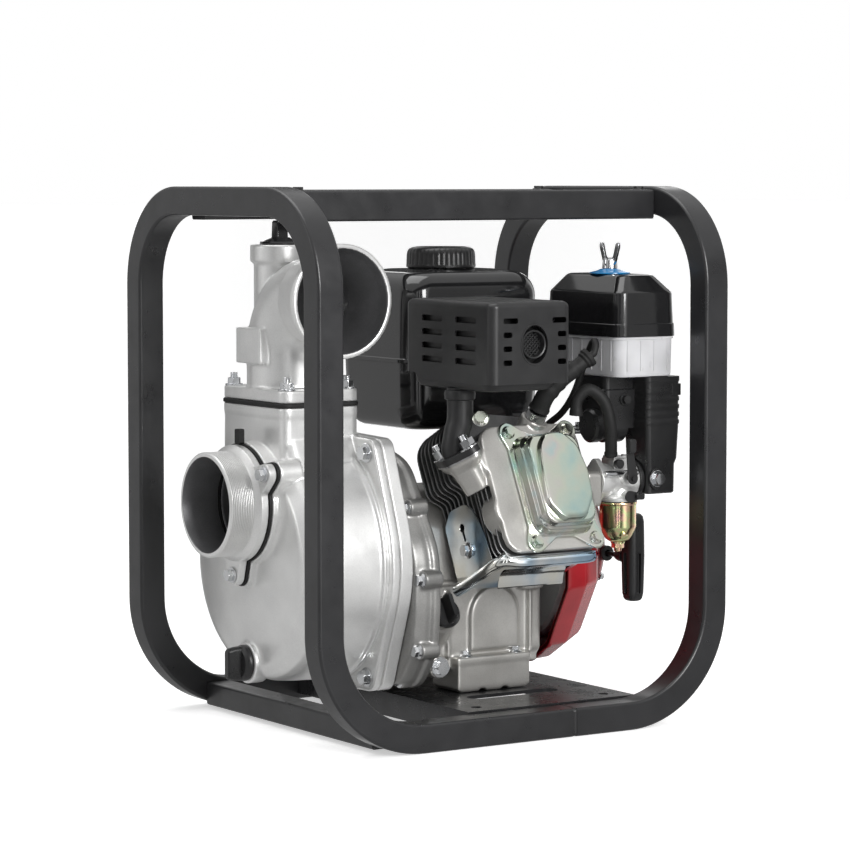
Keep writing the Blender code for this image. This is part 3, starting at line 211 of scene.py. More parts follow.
def boxes(rows, steps, at=(0.0, 0.0)):
    """Sections that are rounded boxes, from rows of (height, half x, half y, corner radius)."""
    return [(height, rounded_box(half_x, half_y, radius, steps, *at)) for height, half_x, half_y, radius in rows]


def softened(points, radius, steps=5):
    """Outline with each corner of a polygon rounded."""
    found = []
    count = len(points)
    for i in range(count):
        here = Vector(points[i])
        a, b = Vector(points[i - 1]) - here, Vector(points[(i + 1) % count]) - here
        r = radius if not isinstance(radius, (list, tuple)) else radius[i]
        reach = min(r, a.length * 0.45, b.length * 0.45)
        start, end = here + a.normalized() * reach, here + b.normalized() * reach
        for k in range(steps + 1):
            t = k / steps
            p = start * (1 - t) ** 2 + here * 2 * t * (1 - t) + end * t * t
            found.append((p.x, p.y))
    return found


def hull(points):
    ordered = sorted(set(points))

    def half(sequence):
        chain = []
        for p in sequence:
            while len(chain) > 1:
                (ax, ay), (bx, by) = chain[-2:]
                if (bx - ax) * (p[1] - ay) - (by - ay) * (p[0] - ax) > 1e-12:
                    break
                chain.pop()
            chain.append(p)
        return chain[:-1]

    return half(ordered) + half(reversed(ordered))


def crossing(direction, shape):
    reach = 0.0
    for (ax, ay), (bx, by) in zip(shape, shape[1:] + shape[:1]):
        edge = Vector((bx - ax, by - ay))
        across = direction.x * edge.y - direction.y * edge.x
        if abs(across) < 1e-12:
            continue
        along = (ax * edge.y - ay * edge.x) / across
        share = (ax * direction.y - ay * direction.x) / across
        if along > 0 and -1e-9 <= share <= 1 + 1e-9:
            reach = max(reach, along)
    return reach


def lobed(radius, lobes, steps=96):
    """Outline of a disc joined to round lobes (x, y, radius) by tangent lines."""
    hulls = [hull(circle(radius, 180))]
    angles = [2 * pi * k / steps for k in range(steps)]
    for x, y, r in lobes:
        hulls.append(hull(circle(radius, 180) + circle(r, 48, x, y)))
        middle, spread = atan2(y, x), asin(min(1, r / hypot(x, y)))
        angles = [a for a in angles if abs((a - middle + pi) % (2 * pi) - pi) > spread * 1.3]
        angles += [middle + spread * k / 8 for k in range(-8, 9)]
    outline = []
    for angle in sorted(a % (2 * pi) for a in angles):
        direction = Vector((cos(angle), sin(angle)))
        reach = max(crossing(direction, shape) for shape in hulls)
        outline.append((direction.x * reach, direction.y * reach))
    return outline


def scaled(outline, factor_x, factor_y=None):
    factor_y = factor_x if factor_y is None else factor_y
    return [(x * factor_x, y * factor_y) for x, y in outline]


def moved(outline, dx, dy):
    return [(x + dx, y + dy) for x, y in outline]


def about(outline, cx, cy, factor):
    return [(cx + (x - cx) * factor, cy + (y - cy) * factor) for x, y in outline]


def tapered(outline, rows):
    """Sections that scale one outline, from rows of (height, factor)."""
    return [(height, scaled(outline, factor)) for height, factor in rows]


def outermost(shapes, steps=240):
    """Outline that follows whichever of the shapes reaches furthest from the middle."""
    outline = []
    for k in range(steps):
        direction = Vector((cos(2 * pi * k / steps), sin(2 * pi * k / steps)))
        outline.append(tuple(direction * max(crossing(direction, shape) for shape in shapes)))
    return outline


def evaluated(obj):
    graph = bpy.context.evaluated_depsgraph_get()
    mesh = bpy.data.meshes.new_from_object(obj.evaluated_get(graph))
    slots = list(obj.data.materials)
    obj.modifiers.clear()
    obj.data = mesh
    if slots:
        indices = [min(face.material_index, len(slots) - 1) for face in mesh.polygons]
        mesh.materials.clear()
        for mat in slots:
            mesh.materials.append(mat)
        if len(slots) > 1:
            mesh.polygons.foreach_set("material_index", indices)
    return obj


def combine(obj, others, operation):
    for other in others:
        step = obj.modifiers.new("step", "BOOLEAN")
        step.operation = operation
        step.solver = "EXACT"
        step.object = other
        evaluated(obj)
        bpy.data.objects.remove(other)
    clean = bmesh.new()
    clean.from_mesh(obj.data)
    bmesh.ops.remove_doubles(clean, verts=clean.verts, dist=2e-6)
    bmesh.ops.dissolve_degenerate(clean, dist=1e-6, edges=clean.edges)
    clean.to_mesh(obj.data)
    clean.free()
    return shaded(obj)


def join(obj, *others):
    return combine(obj, others, "UNION")


def cut(obj, *others):
    return combine(obj, others, "DIFFERENCE")


def gather(obj, *others):
    """Puts the other solids in obj's mesh as they are."""
    bm = bmesh.new()
    bm.from_mesh(obj.data)
    for other in others:
        bm.from_mesh(other.data)
        bpy.data.objects.remove(other)
    bm.to_mesh(obj.data)
    bm.free()
    return shaded(obj)


def bevelled(obj, width, segments=3, angle=30):
    step = obj.modifiers.new("bevel", "BEVEL")
    step.width = width
    step.segments = segments
    step.limit_method = "ANGLE"
    step.angle_limit = radians(angle)
    step.use_clamp_overlap = True
    step.harden_normals = False
    step.miter_outer = "MITER_ARC"
    return shaded(evaluated(obj), 40)


def cast(obj, voxel=0.0011, rounds=6, factor=0.5, keep=1.0):
    """Fuses a casting's overlapping solids into one skin with soft inner and outer corners."""
    step = obj.modifiers.new("remesh", "REMESH")
    step.mode = "VOXEL"
    step.voxel_size = voxel
    step.use_smooth_shade = True
    soft = obj.modifiers.new("soft", "SMOOTH")
    soft.factor = factor
    soft.iterations = rounds
    if keep < 1:
        fewer = obj.modifiers.new("fewer", "DECIMATE")
        fewer.ratio = keep
    evaluated(obj)
    obj.data.shade_smooth()
    obj.data["fused"] = True
    return obj


def paint_bore_shade(obj, line, radius):
    """Gives the faces that look into a bore along the line a rougher, much darker casting finish: the roughness is a
    cored skin's, the darkness is painted shade inside the bore.
    """
    obj.data.materials.append(BORE_SHADE)
    legs = [(Vector(a), Vector(b) - Vector(a)) for a, b in zip(line, line[1:])]
    for face in obj.data.polygons:
        best = None
        for start, leg in legs:
            share = (face.center - start).dot(leg) / leg.length_squared
            if -0.6 <= share <= 1.6:
                out = face.center - start - leg * share
                if out.length < radius(share) and (best is None or out.length < best.length):
                    best = out
        if best is not None and face.normal.dot(best) < -0.4 * best.length:
            face.material_index = 1
    return obj


def arc(centre, start, end, radius, first, second, steps=16):
    return [Vector(centre) + Vector(first) * radius * cos(start + (end - start) * k / steps)
            + Vector(second) * radius * sin(start + (end - start) * k / steps) for k in range(steps + 1)]


def smooth_path(points, each=8):
    p = [Vector(v) for v in points]
    p = [2 * p[0] - p[1]] + p + [2 * p[-1] - p[-2]]
    found = []
    for i in range(1, len(p) - 2):
        for k in range(each):
            t = k / each
            a, b, c, d = p[i - 1], p[i], p[i + 1], p[i + 2]
            found.append(0.5 * (2 * b + (c - a) * t + (2 * a - 5 * b + 4 * c - d) * t ** 2 + (3 * b - a - 3 * c
                    + d) * t ** 3))
    found.append(p[-2])
    return found


def piece(obj, body="frame", slot=None, *nodes):
    """Rides obj on a body, and hides the CAD nodes it stands for."""
    if not obj.data.get("fused"):
        even = obj.modifiers.new("even", "WEIGHTED_NORMAL")
        even.mode, even.weight, even.keep_sharp = "FACE_AREA", 60, True
        evaluated(obj)
    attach(obj, body)
    if nodes:
        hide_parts(*nodes)
    return obj


def fixed(obj, slot=None, *nodes):
    return piece(obj, "frame", slot, *nodes)


# ---------------------------------------------------------------- materials


def rgba(value):
    return (*value, 1) if isinstance(value, tuple) else (value, value, value, 1)


class Graph:
    """A node tree, with the nodes that the materials and the studio both need."""

    def __init__(self, tree):
        self.nodes, self.links = tree.nodes, tree.links

    def ramp(self, fac, stops):
        made = self.nodes.new("ShaderNodeValToRGB")
        band = made.color_ramp
        while len(band.elements) < len(stops):
            band.elements.new(0.5)
        for element, (at, value) in zip(band.elements, stops):
            element.position = at
            element.color = rgba(value)
        self.links.new(fac, made.inputs["Fac"])
        return made.outputs["Color"]

    def mix(self, fac, first, second):
        made = self.nodes.new("ShaderNodeMix")
        made.data_type = "RGBA"
        for socket, value in ((made.inputs["Factor"], fac), (made.inputs[6], first), (made.inputs[7], second)):
            if hasattr(value, "is_linked"):
                self.links.new(value, socket)
            elif socket.type == "RGBA":
                socket.default_value = rgba(value)
            else:
                socket.default_value = value
        return made.outputs[2]


class Finish(Graph):
    """A procedural material, built step by step on the object's own coordinates."""

    def __init__(self, name, colour, roughness, metallic=0.0, coat=0.0, coat_roughness=0.1, ior=1.5, specular=0.5):
        self.material = bpy.data.materials.new(name)
        self.material.use_nodes = True
        super().__init__(self.material.node_tree)
        self.shader = self.nodes["Principled BSDF"]
        self.height = None
        self.set("Base Color", (*colour, 1))
        self.set("Roughness", roughness)
        self.set("Metallic", metallic)
        self.set("Coat Weight", coat)
        self.set("Coat Roughness", coat_roughness)
        self.set("IOR", ior)
        self.set("Specular IOR Level", specular)
        self.where = self.nodes.new("ShaderNodeTexCoord").outputs["Object"]

    def set(self, socket, value):
        self.shader.inputs[socket].default_value = value

    def noise(self, scale, detail=4.0, rough=0.55):
        made = self.nodes.new("ShaderNodeTexNoise")
        made.inputs["Scale"].default_value = scale
        made.inputs["Detail"].default_value = detail
        made.inputs["Roughness"].default_value = rough
        self.links.new(self.where, made.inputs["Vector"])
        return made.outputs["Fac"]

    def base(self, colour):
        self.links.new(colour, self.shader.inputs["Base Color"])
        return self

    def rough(self, fac, low, high):
        made = self.nodes.new("ShaderNodeMapRange")
        made.inputs["To Min"].default_value = low
        made.inputs["To Max"].default_value = high
        made.inputs["From Min"].default_value = 0.3
        made.inputs["From Max"].default_value = 0.7
        self.links.new(fac, made.inputs["Value"])
        self.links.new(made.outputs["Result"], self.shader.inputs["Roughness"])
        return self

    def bump(self, fac, distance, strength=1.0):
        made = self.nodes.new("ShaderNodeBump")
        made.inputs["Distance"].default_value = distance
        made.inputs["Strength"].default_value = strength
        self.links.new(fac, made.inputs["Height"])
        if self.height is not None:
            self.links.new(self.height, made.inputs["Normal"])
        self.height = made.outputs["Normal"]
        self.links.new(self.height, self.shader.inputs["Normal"])
        return self


def powder_black(name="powder_coat", colour=(0.0105, 0.0105, 0.0115), low=0.26, high=0.4):
    f = Finish(name, colour, 0.35, specular=0.55, coat=0.15, coat_roughness=0.2)
    tone = f.noise(14, 3)
    f.base(f.ramp(tone, [(0.3, tuple(c * 0.8 for c in colour)), (0.7, tuple(c * 1.5 for c in colour))]))
    f.rough(f.noise(60, 4), low, high)
    f.bump(f.noise(900, 2), 0.00006, 0.5)
    return f.material


def cast_metal(name, dark, light, low, high, grain=0.00006, metallic=0.75):
    f = Finish(name, light, 0.4, metallic=metallic)
    tone = f.ramp(f.noise(18, 4, 0.55), [(0.3, dark), (0.68, light)])
    speck = f.ramp(f.noise(900, 2, 0.5), [(0.35, tuple(c * 0.9 for c in dark)), (0.6, light)])
    f.base(f.mix(0.18, tone, speck))
    f.rough(f.noise(50, 4), low, high)
    f.bump(f.noise(120, 3, 0.5), grain * 2.0, 0.35)
    f.bump(f.noise(1500, 2, 0.6), grain, 0.4)
    return f.material


def plated(name, stops, roughness=(0.14, 0.26), scale=26.0, bump=0.00002, dents=0.0):
    f = Finish(name, stops[0][1], 0.2, metallic=1.0)
    f.base(f.ramp(f.noise(scale, 2.5, 0.55), stops))
    f.rough(f.noise(140, 4), *roughness)
    f.bump(f.noise(500, 2), bump, 0.6)
    if dents:
        f.bump(f.noise(32, 1, 0.4), dents, 1.0)
    return f.material


def moulded(name, colour, low, high, grain=0.00003, scale=1400, coat=0.0, specular=0.5):
    f = Finish(name, colour, 0.4, coat=coat, coat_roughness=0.08, specular=specular)
    f.base(f.ramp(f.noise(20, 3), [(0.3, tuple(c * 0.8 for c in colour)), (0.7, tuple(c * 1.25 for c in colour))]))
    f.rough(f.noise(70, 4), low, high)
    f.bump(f.noise(scale, 2), grain, 0.6)
    return f.material


FRAME_PAINT = powder_black()
PLATE_PAINT = powder_black("plate_coat", (0.01, 0.01, 0.011), 0.22, 0.36)
ALUMINIUM = cast_metal("pump_casting", (0.66, 0.66, 0.655), (0.82, 0.82, 0.81), 0.3, 0.4)
# Near-black copy of the pump casting for the faces inside bores: painted shade, with a rougher cored skin.
BORE_SHADE = cast_metal("cored_skin_painted_shade", (0.13, 0.13, 0.135), (0.22, 0.22, 0.225), 0.36, 0.5)
ENGINE = cast_metal("engine_casting", (0.4, 0.39, 0.37), (0.58, 0.57, 0.545), 0.3, 0.42)
# Darker copy of the engine casting for the gear-side cover: painted shade, as that cover sits in shadow.
SHADED_ENGINE = cast_metal("engine_casting_painted_shade", (0.2, 0.2, 0.195), (0.34, 0.335, 0.325), 0.32, 0.46)
# Much darker copy of the engine casting for fins and posts: painted shade of the deep gaps between fins.
FIN_SHADE = cast_metal("fin_casting_painted_shade", (0.1, 0.1, 0.1), (0.24, 0.24, 0.24), 0.3, 0.42)
ZINC_YELLOW = plated("zinc_yellow", [(0.28, (0.44, 0.64, 0.64)), (0.42, (0.58, 0.7, 0.62)), (0.52, (0.66, 0.7, 0.6)),
        (0.62, (0.68, 0.66, 0.62)), (0.74, (0.5, 0.68, 0.68))], (0.14, 0.24), 26)
ZINC = plated("bright_zinc", [(0.25, (0.62, 0.64, 0.66)), (0.5, (0.78, 0.79, 0.8)), (0.75, (0.7, 0.72, 0.76))])
BLUE_ZINC = plated("blue_zinc", [(0.28, (0.16, 0.32, 0.56)), (0.42, (0.5, 0.66, 0.8)), (0.54, (0.86, 0.9, 0.92)),
        (0.68, (0.94, 0.92, 0.84))], (0.07, 0.15), 20, dents=0.0012)
GOLD = plated("bowl_gold", [(0.3, (0.88, 0.5, 0.42)), (0.42, (0.92, 0.7, 0.42)), (0.51, (0.7, 0.8, 0.4)), (0.6, (0.92,
        0.7, 0.44)), (0.7, (0.9, 0.5, 0.48))], (0.14, 0.24), 75)
STEEL = plated("machined_steel", [(0.3, (0.45, 0.45, 0.46)), (0.7, (0.62, 0.62, 0.62))], (0.22, 0.36))
CHROME = plated("chrome", [(0.3, (0.7, 0.71, 0.73)), (0.7, (0.82, 0.83, 0.84))], (0.06, 0.14))
GLOSS = moulded("gloss_black", (0.008, 0.008, 0.0085), 0.1, 0.18, 0.000015, 500, coat=0.5)
SATIN = moulded("satin_black", (0.013, 0.013, 0.0135), 0.3, 0.44, 0.00005, 1600)
BLACK_PLASTIC = moulded("black_plastic", (0.012, 0.012, 0.0125), 0.24, 0.38, 0.00004, 1800)
RUBBER = moulded("rubber", (0.009, 0.009, 0.009), 0.5, 0.68, 0.00004, 900, specular=0.35)
RED = moulded("housing_red", (0.27, 0.011, 0.016), 0.16, 0.26, 0.00002, 400, coat=0.6)
WHITE = moulded("filter_white", (0.42, 0.42, 0.43), 0.26, 0.36, 0.00003, 700)
WHITE.node_tree.nodes["Principled BSDF"].inputs["Subsurface Weight"].default_value = 0.35
WHITE.node_tree.nodes["Principled BSDF"].inputs["Subsurface Radius"].default_value = (0.006, 0.006, 0.005)
FOAM = moulded("foam", (0.05, 0.05, 0.05), 0.8, 0.95, 0.0003, 700)
BLUE_WASHER = moulded("blue_washer", (0.01, 0.22, 0.52), 0.18, 0.28, 0.00002, 500, coat=0.3)

BY_SLOT = {"frame_black": FRAME_PAINT, "cast_aluminium": ALUMINIUM, "engine_casting": ENGINE,
        "zinc_yellow": ZINC_YELLOW, "bright_zinc": ZINC, "gloss_black": GLOSS, "satin_black": SATIN, "rubber": RUBBER,
        "housing_red": RED, "filter_white": WHITE, "bowl_gold": GOLD, "machined_steel": STEEL, "foam": FOAM}

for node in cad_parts.values():
    for held in node.material_slots:
        name = held.material.name.split(".")[0] if held.material else ""
        held.material = BY_SLOT.get(name, SATIN)
for name, mat in (("side_cover", SHADED_ENGINE), ("air_shroud", BLUE_ZINC), ("engine_base_plate", PLATE_PAINT)):
    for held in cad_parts[name].material_slots:
        held.material = mat


# ---------------------------------------------------------------- hardware


def hexagon(radius, at, low, high, mat=None):
    """Hexagon prism whose outer corners are rounded off, as a forged nut's are."""
    steps = 72
    outline, worn = [], []
    for k in range(steps):
        a = 2 * pi * k / steps
        flat = radius * cos(pi / 6) / cos((a % (pi / 3)) - pi / 6)
        outline.append((flat * cos(a), flat * sin(a)))
        r = min(flat, radius * 0.93)
        worn.append((r * cos(a), r * sin(a)))
    rise = (high - low) * 0.12
    return lofted("hexagon", [(low, worn), (low + rise, outline), (high - rise, outline), (high, worn)], mat, at, 24)


def thread(radius, origin, axis, low, high, pitch, mat, steps=40):
    depth = pitch * 0.42
    profile = [(0, low)]
    count = max(1, int((high - low) / pitch))
    for k in range(count):
        base = low + (high - low) * k / count
        profile += [(radius - depth, base + 0.0001), (radius, base + (high - low) / count * 0.5)]
    profile += [(radius - depth, high), (0, high)]
    return turned("thread", profile, mat, origin, axis, steps)


def bolt(name, seat, out, radius, height=0.0046, washer=1.35, stud=0.0, mat=None, flanged=False, spin=0.0,
        slot="bright_zinc", nodes=()):
    """Hexagon bolt head on a washer, or a nut with its stud's end standing out of it. It rides on the frame."""
    mat = mat or ZINC
    at = place(seat, out) @ Matrix.Rotation(spin, 4, "Z")
    low = 0.0
    parts = []
    if flanged:
        parts.append(turned("f", [(0, 0), (radius * 1.36, 0), (radius * 1.38, 0.0005), (radius * 1.3, 0.0009),
                (radius * 1.0, 0.0019), (0, 0.002)], mat, seat, out, 48))
        low = 0.0012
    elif washer:
        wide = radius * washer
        parts.append(turned("w", [(0, 0), (wide, 0), (wide, 0.001), (wide - 0.0003, 0.0013), (0, 0.0013)], mat, seat,
                out, 48))
        low = 0.0013
    head = hexagon(radius, at, low, low + height, mat)
    if stud:
        end = low + height
        parts.append(thread(radius * 0.56, seat, out, end - 0.001, end + stud, 0.001, mat, 28))
    else:
        parts.append(turned("d", [(0, low + height - 0.0012), (radius * 0.62, low + height - 0.0011), (radius * 0.6,
                low + height - 0.0006), (0, low + height - 0.0005)], mat, seat, out, 32))
    gather(head, *parts)
    head.name = name
    fixed(head, slot, *nodes)


def handled(name, node, origin, axis, profile, sections, mat=BLACK_PLASTIC, steps=64):
    """A turned cap with a handle across it, on the moving body of the same name as its node."""
    cap = turned(name, profile, mat, origin, axis, steps)
    handle = lofted("handle", sections, mat, place(origin, axis))
    piece(gather(cap, handle), node, "satin_black", node)


# ---------------------------------------------------------------- roll frame


def hoop(name, node, end):
    x, y = 0.148, end * 0.191
    top, bend, foot = 0.443, 0.072, 0.088
    inward = Vector((0, -end, 0))
    seam = 0.045 + end * 0.0012
    points = [Vector((x, seam, 0.012)), Vector((x, seam + end * 0.0008, 0.012))]
    points += arc((x, y - end * foot, 0.012 + foot), pi / 2, 0, foot, -inward, -Z_AXIS, 28)
    points += arc((x - bend, y, top - bend), 0, pi / 2, bend, X_AXIS, Z_AXIS, 28)
    points += arc((bend - x, y, top - bend), pi / 2, pi, bend, X_AXIS, Z_AXIS, 28)
    points += arc((-x, y - end * foot, 0.012 + foot), 0, pi / 2, foot, -inward, -Z_AXIS, 28)
    points += [Vector((-x, seam + end * 0.0008, 0.012)), Vector((-x, seam, 0.012))]
    widths = [0.93] + [1] * (len(points) - 2) + [0.93]
    tube = swept(name, points, rounded_box(0.012, 0.012, 0.0026, 5), FRAME_PAINT, Z_AXIS, widths)
    return fixed(tube, "frame_black", node)


def roll_frame():
    hoop("pump_hoop", "pump_end_hoop", -1)
    hoop("starter_hoop", "recoil_end_hoop", 1)
    for side, word, node in ((1, "near", "top_crossbar_near"), (-1, "far", "top_crossbar_far")):
        sections = []
        for k in range(9):
            y = 0.0422 + 0.0056 * k / 8
            lump = 0.985 + 0.012 * sin(k * 2.6)
            sections.append((y, scaled(rounded_box(0.0119, 0.0119, 0.003, 5), lump)))
        bead = lofted("weld_" + word, sections, FRAME_PAINT, Matrix.Translation((side * 0.148, 0, 0.012)) @ ACROSS_Y)
        fixed(bead, "frame_black")
        ends = [(side * 0.075, -0.1787, 0.4395), (side * 0.075, 0.1787, 0.4395)]
        bar = swept("crossbar_" + word, ends, rounded_box(0.011, 0.0125, 0.0022, 5), FRAME_PAINT, Z_AXIS)
        fixed(bar, "frame_black", node)
        for y in (-0.1705, 0.1705):
            bolt(f"crossbar_screw_{word}_{'pump' if y < 0 else 'starter'}", (side * 0.075, y, 0.4514), Z_AXIS, 0.0042,
                    0.0022, 1.3, mat=SATIN, slot="frame_black")
    ends = [(-0.1357, -0.127, 0.013), (0.1357, -0.127, 0.013)]
    fixed(swept("cross_member", ends, rounded_box(0.012, 0.01, 0.0022, 5), FRAME_PAINT, Z_AXIS), "frame_black",
            "front_cross_member")
    outline = mm((-46, 5), (-43, 5), (-43, 22.5), (121, 22.5), (121, 5), (124, 5), (124, 25.5), (-46, 25.5))
    plate = prism("base_plate", outline, -0.1357, 0.1357, PLATE_PAINT, ACROSS_X)
    holes = [rounded_box(0.009, 0.045, 0.0085, 8, x, 0.04) for x in (-0.118, 0.075)]
    holes += [circle(0.0045, 24, 0.118, y) for y in (-0.026, 0.104)]
    cut(plate, *[prism("hole", hole, 0.01, 0.04, PLATE_PAINT, FLAT) for hole in holes])
    fixed(bevelled(plate, 0.0008, 3), "frame_black", "engine_base_plate")


# ---------------------------------------------------------------- pump


EARS = [(sx * 0.068, sz * 0.094) for sx in (1, -1) for sz in (1, -1)]
LUGS = [(0.06 * cos(radians(a)), 0.06 * sin(radians(a))) for a in (28, 152, 270)]


def ear_outline(radius, ear):
    return lobed(radius, [(x, z, ear) for x, z in EARS])


def drill(x, z, low, high, radius, steps=48):
    return prism("drill", circle(radius, steps, x, z), low, high, ALUMINIUM, ACROSS_Y)


def eared(radius, ear, grow=0.0):
    """A round flange with a narrow ear at each bolt and a hollow either side of it."""
    shapes = [hull(circle(radius + grow, 96))]
    for x, z in LUGS:
        shapes.append(hull(circle(ear + grow, 40, x, z) + circle(ear + grow + 0.005, 40, x * 0.7, z * 0.7)))
    return outermost(shapes)


def pump_body():
    body = turned("casing", mm((0, -160), (83.5, -160), (87, -159.2), (95, -152.5), (97.8, -148), (100.4, -140),
            (101.5, -128), (103, -89), (103, -78), (0, -78)), ALUMINIUM, CRANK, Y_AXIS, 128)
    neck = lofted("neck", boxes(mm((150, 52.5, 37.7, 6), (262, 51.8, 37, 7), (265.5, 52.5, 37.7, 8), (272, 52.5, 37.7,
            8)), 5, at=(NECK_X, NECK_Y)), ALUMINIUM, FLAT)
    shoulder = lofted("shoulder", [(0.15, rounded_box(0.062, 0.036, 0.01, 5, NECK_X + 0.006, NECK_Y + 0.0005)),
            (0.222, rounded_box(0.06, 0.0355, 0.01, 5, NECK_X + 0.004, NECK_Y + 0.0005)), (0.246, rounded_box(0.052,
            0.035, 0.008, 5, NECK_X, NECK_Y + 0.0005))], ALUMINIUM, FLAT)
    seat = prism("seat", eared(0.049, 0.0088, 0.0022), -0.166, -0.1445, ALUMINIUM, ON_PORT)
    boss = drill(CRANK_X, DRAIN_Z, -0.164, -0.15, 0.0175)
    ridge = turned("ridge", mm((98, -93.5), (104.6, -92), (105.2, -90.5), (104.6, -89), (98, -87.5)), ALUMINIUM,
            CRANK, Y_AXIS, 128)
    flange = prism("flange", ear_outline(0.108, 0.012), -0.086, -0.078, ALUMINIUM, ON_CRANK)
    join(body, neck, shoulder, seat, boss, ridge, flange)
    hollow = turned("hollow", mm((0, -152), (91, -152), (95, -146), (96, -70), (0, -70)), ALUMINIUM, CRANK, Y_AXIS,
            96)
    throat = prism("throat", rounded_box(0.0455, 0.0307, 0.004, 4, NECK_X, NECK_Y), 0.16, 0.3, ALUMINIUM, FLAT)
    cut(body, hollow, throat, drill(CRANK_X, PORT_Z, -0.18, -0.13, 0.036, 96), drill(CRANK_X, DRAIN_Z, -0.18, -0.13,
            0.0095))
    cast(body, 0.00105, 5)
    paint_bore_shade(body, [(CRANK_X, -0.1655, PORT_Z), (CRANK_X, -0.15, PORT_Z)], lambda share: 0.037)
    fixed(body, "cast_aluminium", "pump_casing")

    cover = prism("rear_cover", ear_outline(0.108, 0.012), -0.0777, -0.0655, ALUMINIUM, ON_CRANK)
    cut(cover, drill(CRANK_X, CRANK_Z, -0.1, -0.05, 0.0165))
    fixed(bevelled(cover, 0.0016, 4), "cast_aluminium", "pump_back_cover")
    for index, (x, z) in enumerate(EARS):
        bolt(f"ear_bolt_{index + 1}", (CRANK_X + x, -0.0863, CRANK_Z + z), -Y_AXIS, 0.0062, 0.0048, 1.32,
                spin=index * 0.4, nodes=[f"casing_bolt_{index + 1}"])


def suction_side():
    plate = prism("suction_nipple", eared(0.049, 0.0088), -0.176, -0.169, ALUMINIUM, ON_PORT)
    cut(plate, drill(CRANK_X, PORT_Z, -0.18, -0.16, 0.0362, 96))
    bevelled(plate, 0.001, 3)
    profile = mm((36.2, -169.5), (36.2, -175), (37.4, -185), (38.4, -193), (39.8, -200.8), (40.3, -201.5), (42.8,
            -201.5), (43.5, -201))
    y = -0.2006
    while y < -0.1812:
        profile += [(0.04395, y + 0.0003), (0.044, y + 0.0006), (0.0427, y + 0.0012)]
        y += 0.0016
    profile += mm((44, -179.8), (46.2, -178.2), (48.6, -175.8), (48.6, -169.5), (36.2, -169.5))
    gather(plate, turned("nipple", profile, ALUMINIUM, PORT, Y_AXIS, 144))
    paint_bore_shade(plate, [(CRANK_X, -0.2, PORT_Z), (CRANK_X, -0.16, PORT_Z)], lambda share: 0.041)
    fixed(plate, "cast_aluminium", "suction_flange")
    gasket = prism("port_gasket", eared(0.049, 0.0088, 0.0012), -0.1687, -0.1663, RUBBER, ON_PORT)
    cut(gasket, drill(CRANK_X, PORT_Z, -0.18, -0.15, 0.036, 96))
    lip = lofted("lip", boxes([(-0.1712, 0.004, 0.0062, 0.0015), (-0.1663, 0.004, 0.0062, 0.0015)], 4), RUBBER,
            Matrix.Translation((CRANK_X, 0, PORT_Z + 0.056)) @ ACROSS_Y)
    fixed(gather(bevelled(gasket, 0.0005, 2), lip), "rubber", "suction_gasket")
    for index, (x, z) in enumerate(LUGS):
        bolt(f"port_bolt_{index + 1}", (CRANK_X + x, -0.1763, PORT_Z + z), -Y_AXIS, 0.0052, 0.0046, 1.3,
                spin=index * 0.5, nodes=[f"suction_bolt_{index + 1}"])
    flap = turned("flap_disc", mm((0, -151.4), (37.2, -151.4), (37.6, -150.8), (37.6, -149), (37.2, -148.6), (17,
            -148.6), (16, -146.5), (0, -146.5)), RUBBER, PORT, Y_AXIS, 96)
    piece(flap, "check_flap", "rubber", "check_flap")
    origin = Vector((CRANK_X, -0.1643, DRAIN_Z))
    handled("drain_knob", "drain_plug", origin, -Y_AXIS, mm((0, -10.5), (8.8, -10.5), (8.8, 0), (14.6, 0), (15.2,
            0.8), (15.2, 2.8), (14.2, 4.5), (11.8, 6.2), (0, 6.6)), boxes(mm((3, 5, 14.6, 3.5), (12, 4.2, 14, 3.5),
            (16.8, 3.8, 12.8, 3.4), (18, 2.8, 11.5, 2.6)), 6))


def elbow_line(first, last, steps=20):
    bend, start = 0.046, 0.315
    points = [Vector((NECK_X, NECK_Y, first)), Vector((NECK_X, NECK_Y, (first + start) / 2))]
    points += arc((NECK_X + bend, NECK_Y, start), pi, pi / 2, bend, X_AXIS, Z_AXIS, steps)
    points.append(Vector((last, NECK_Y, MOUTH_Z)))
    return points


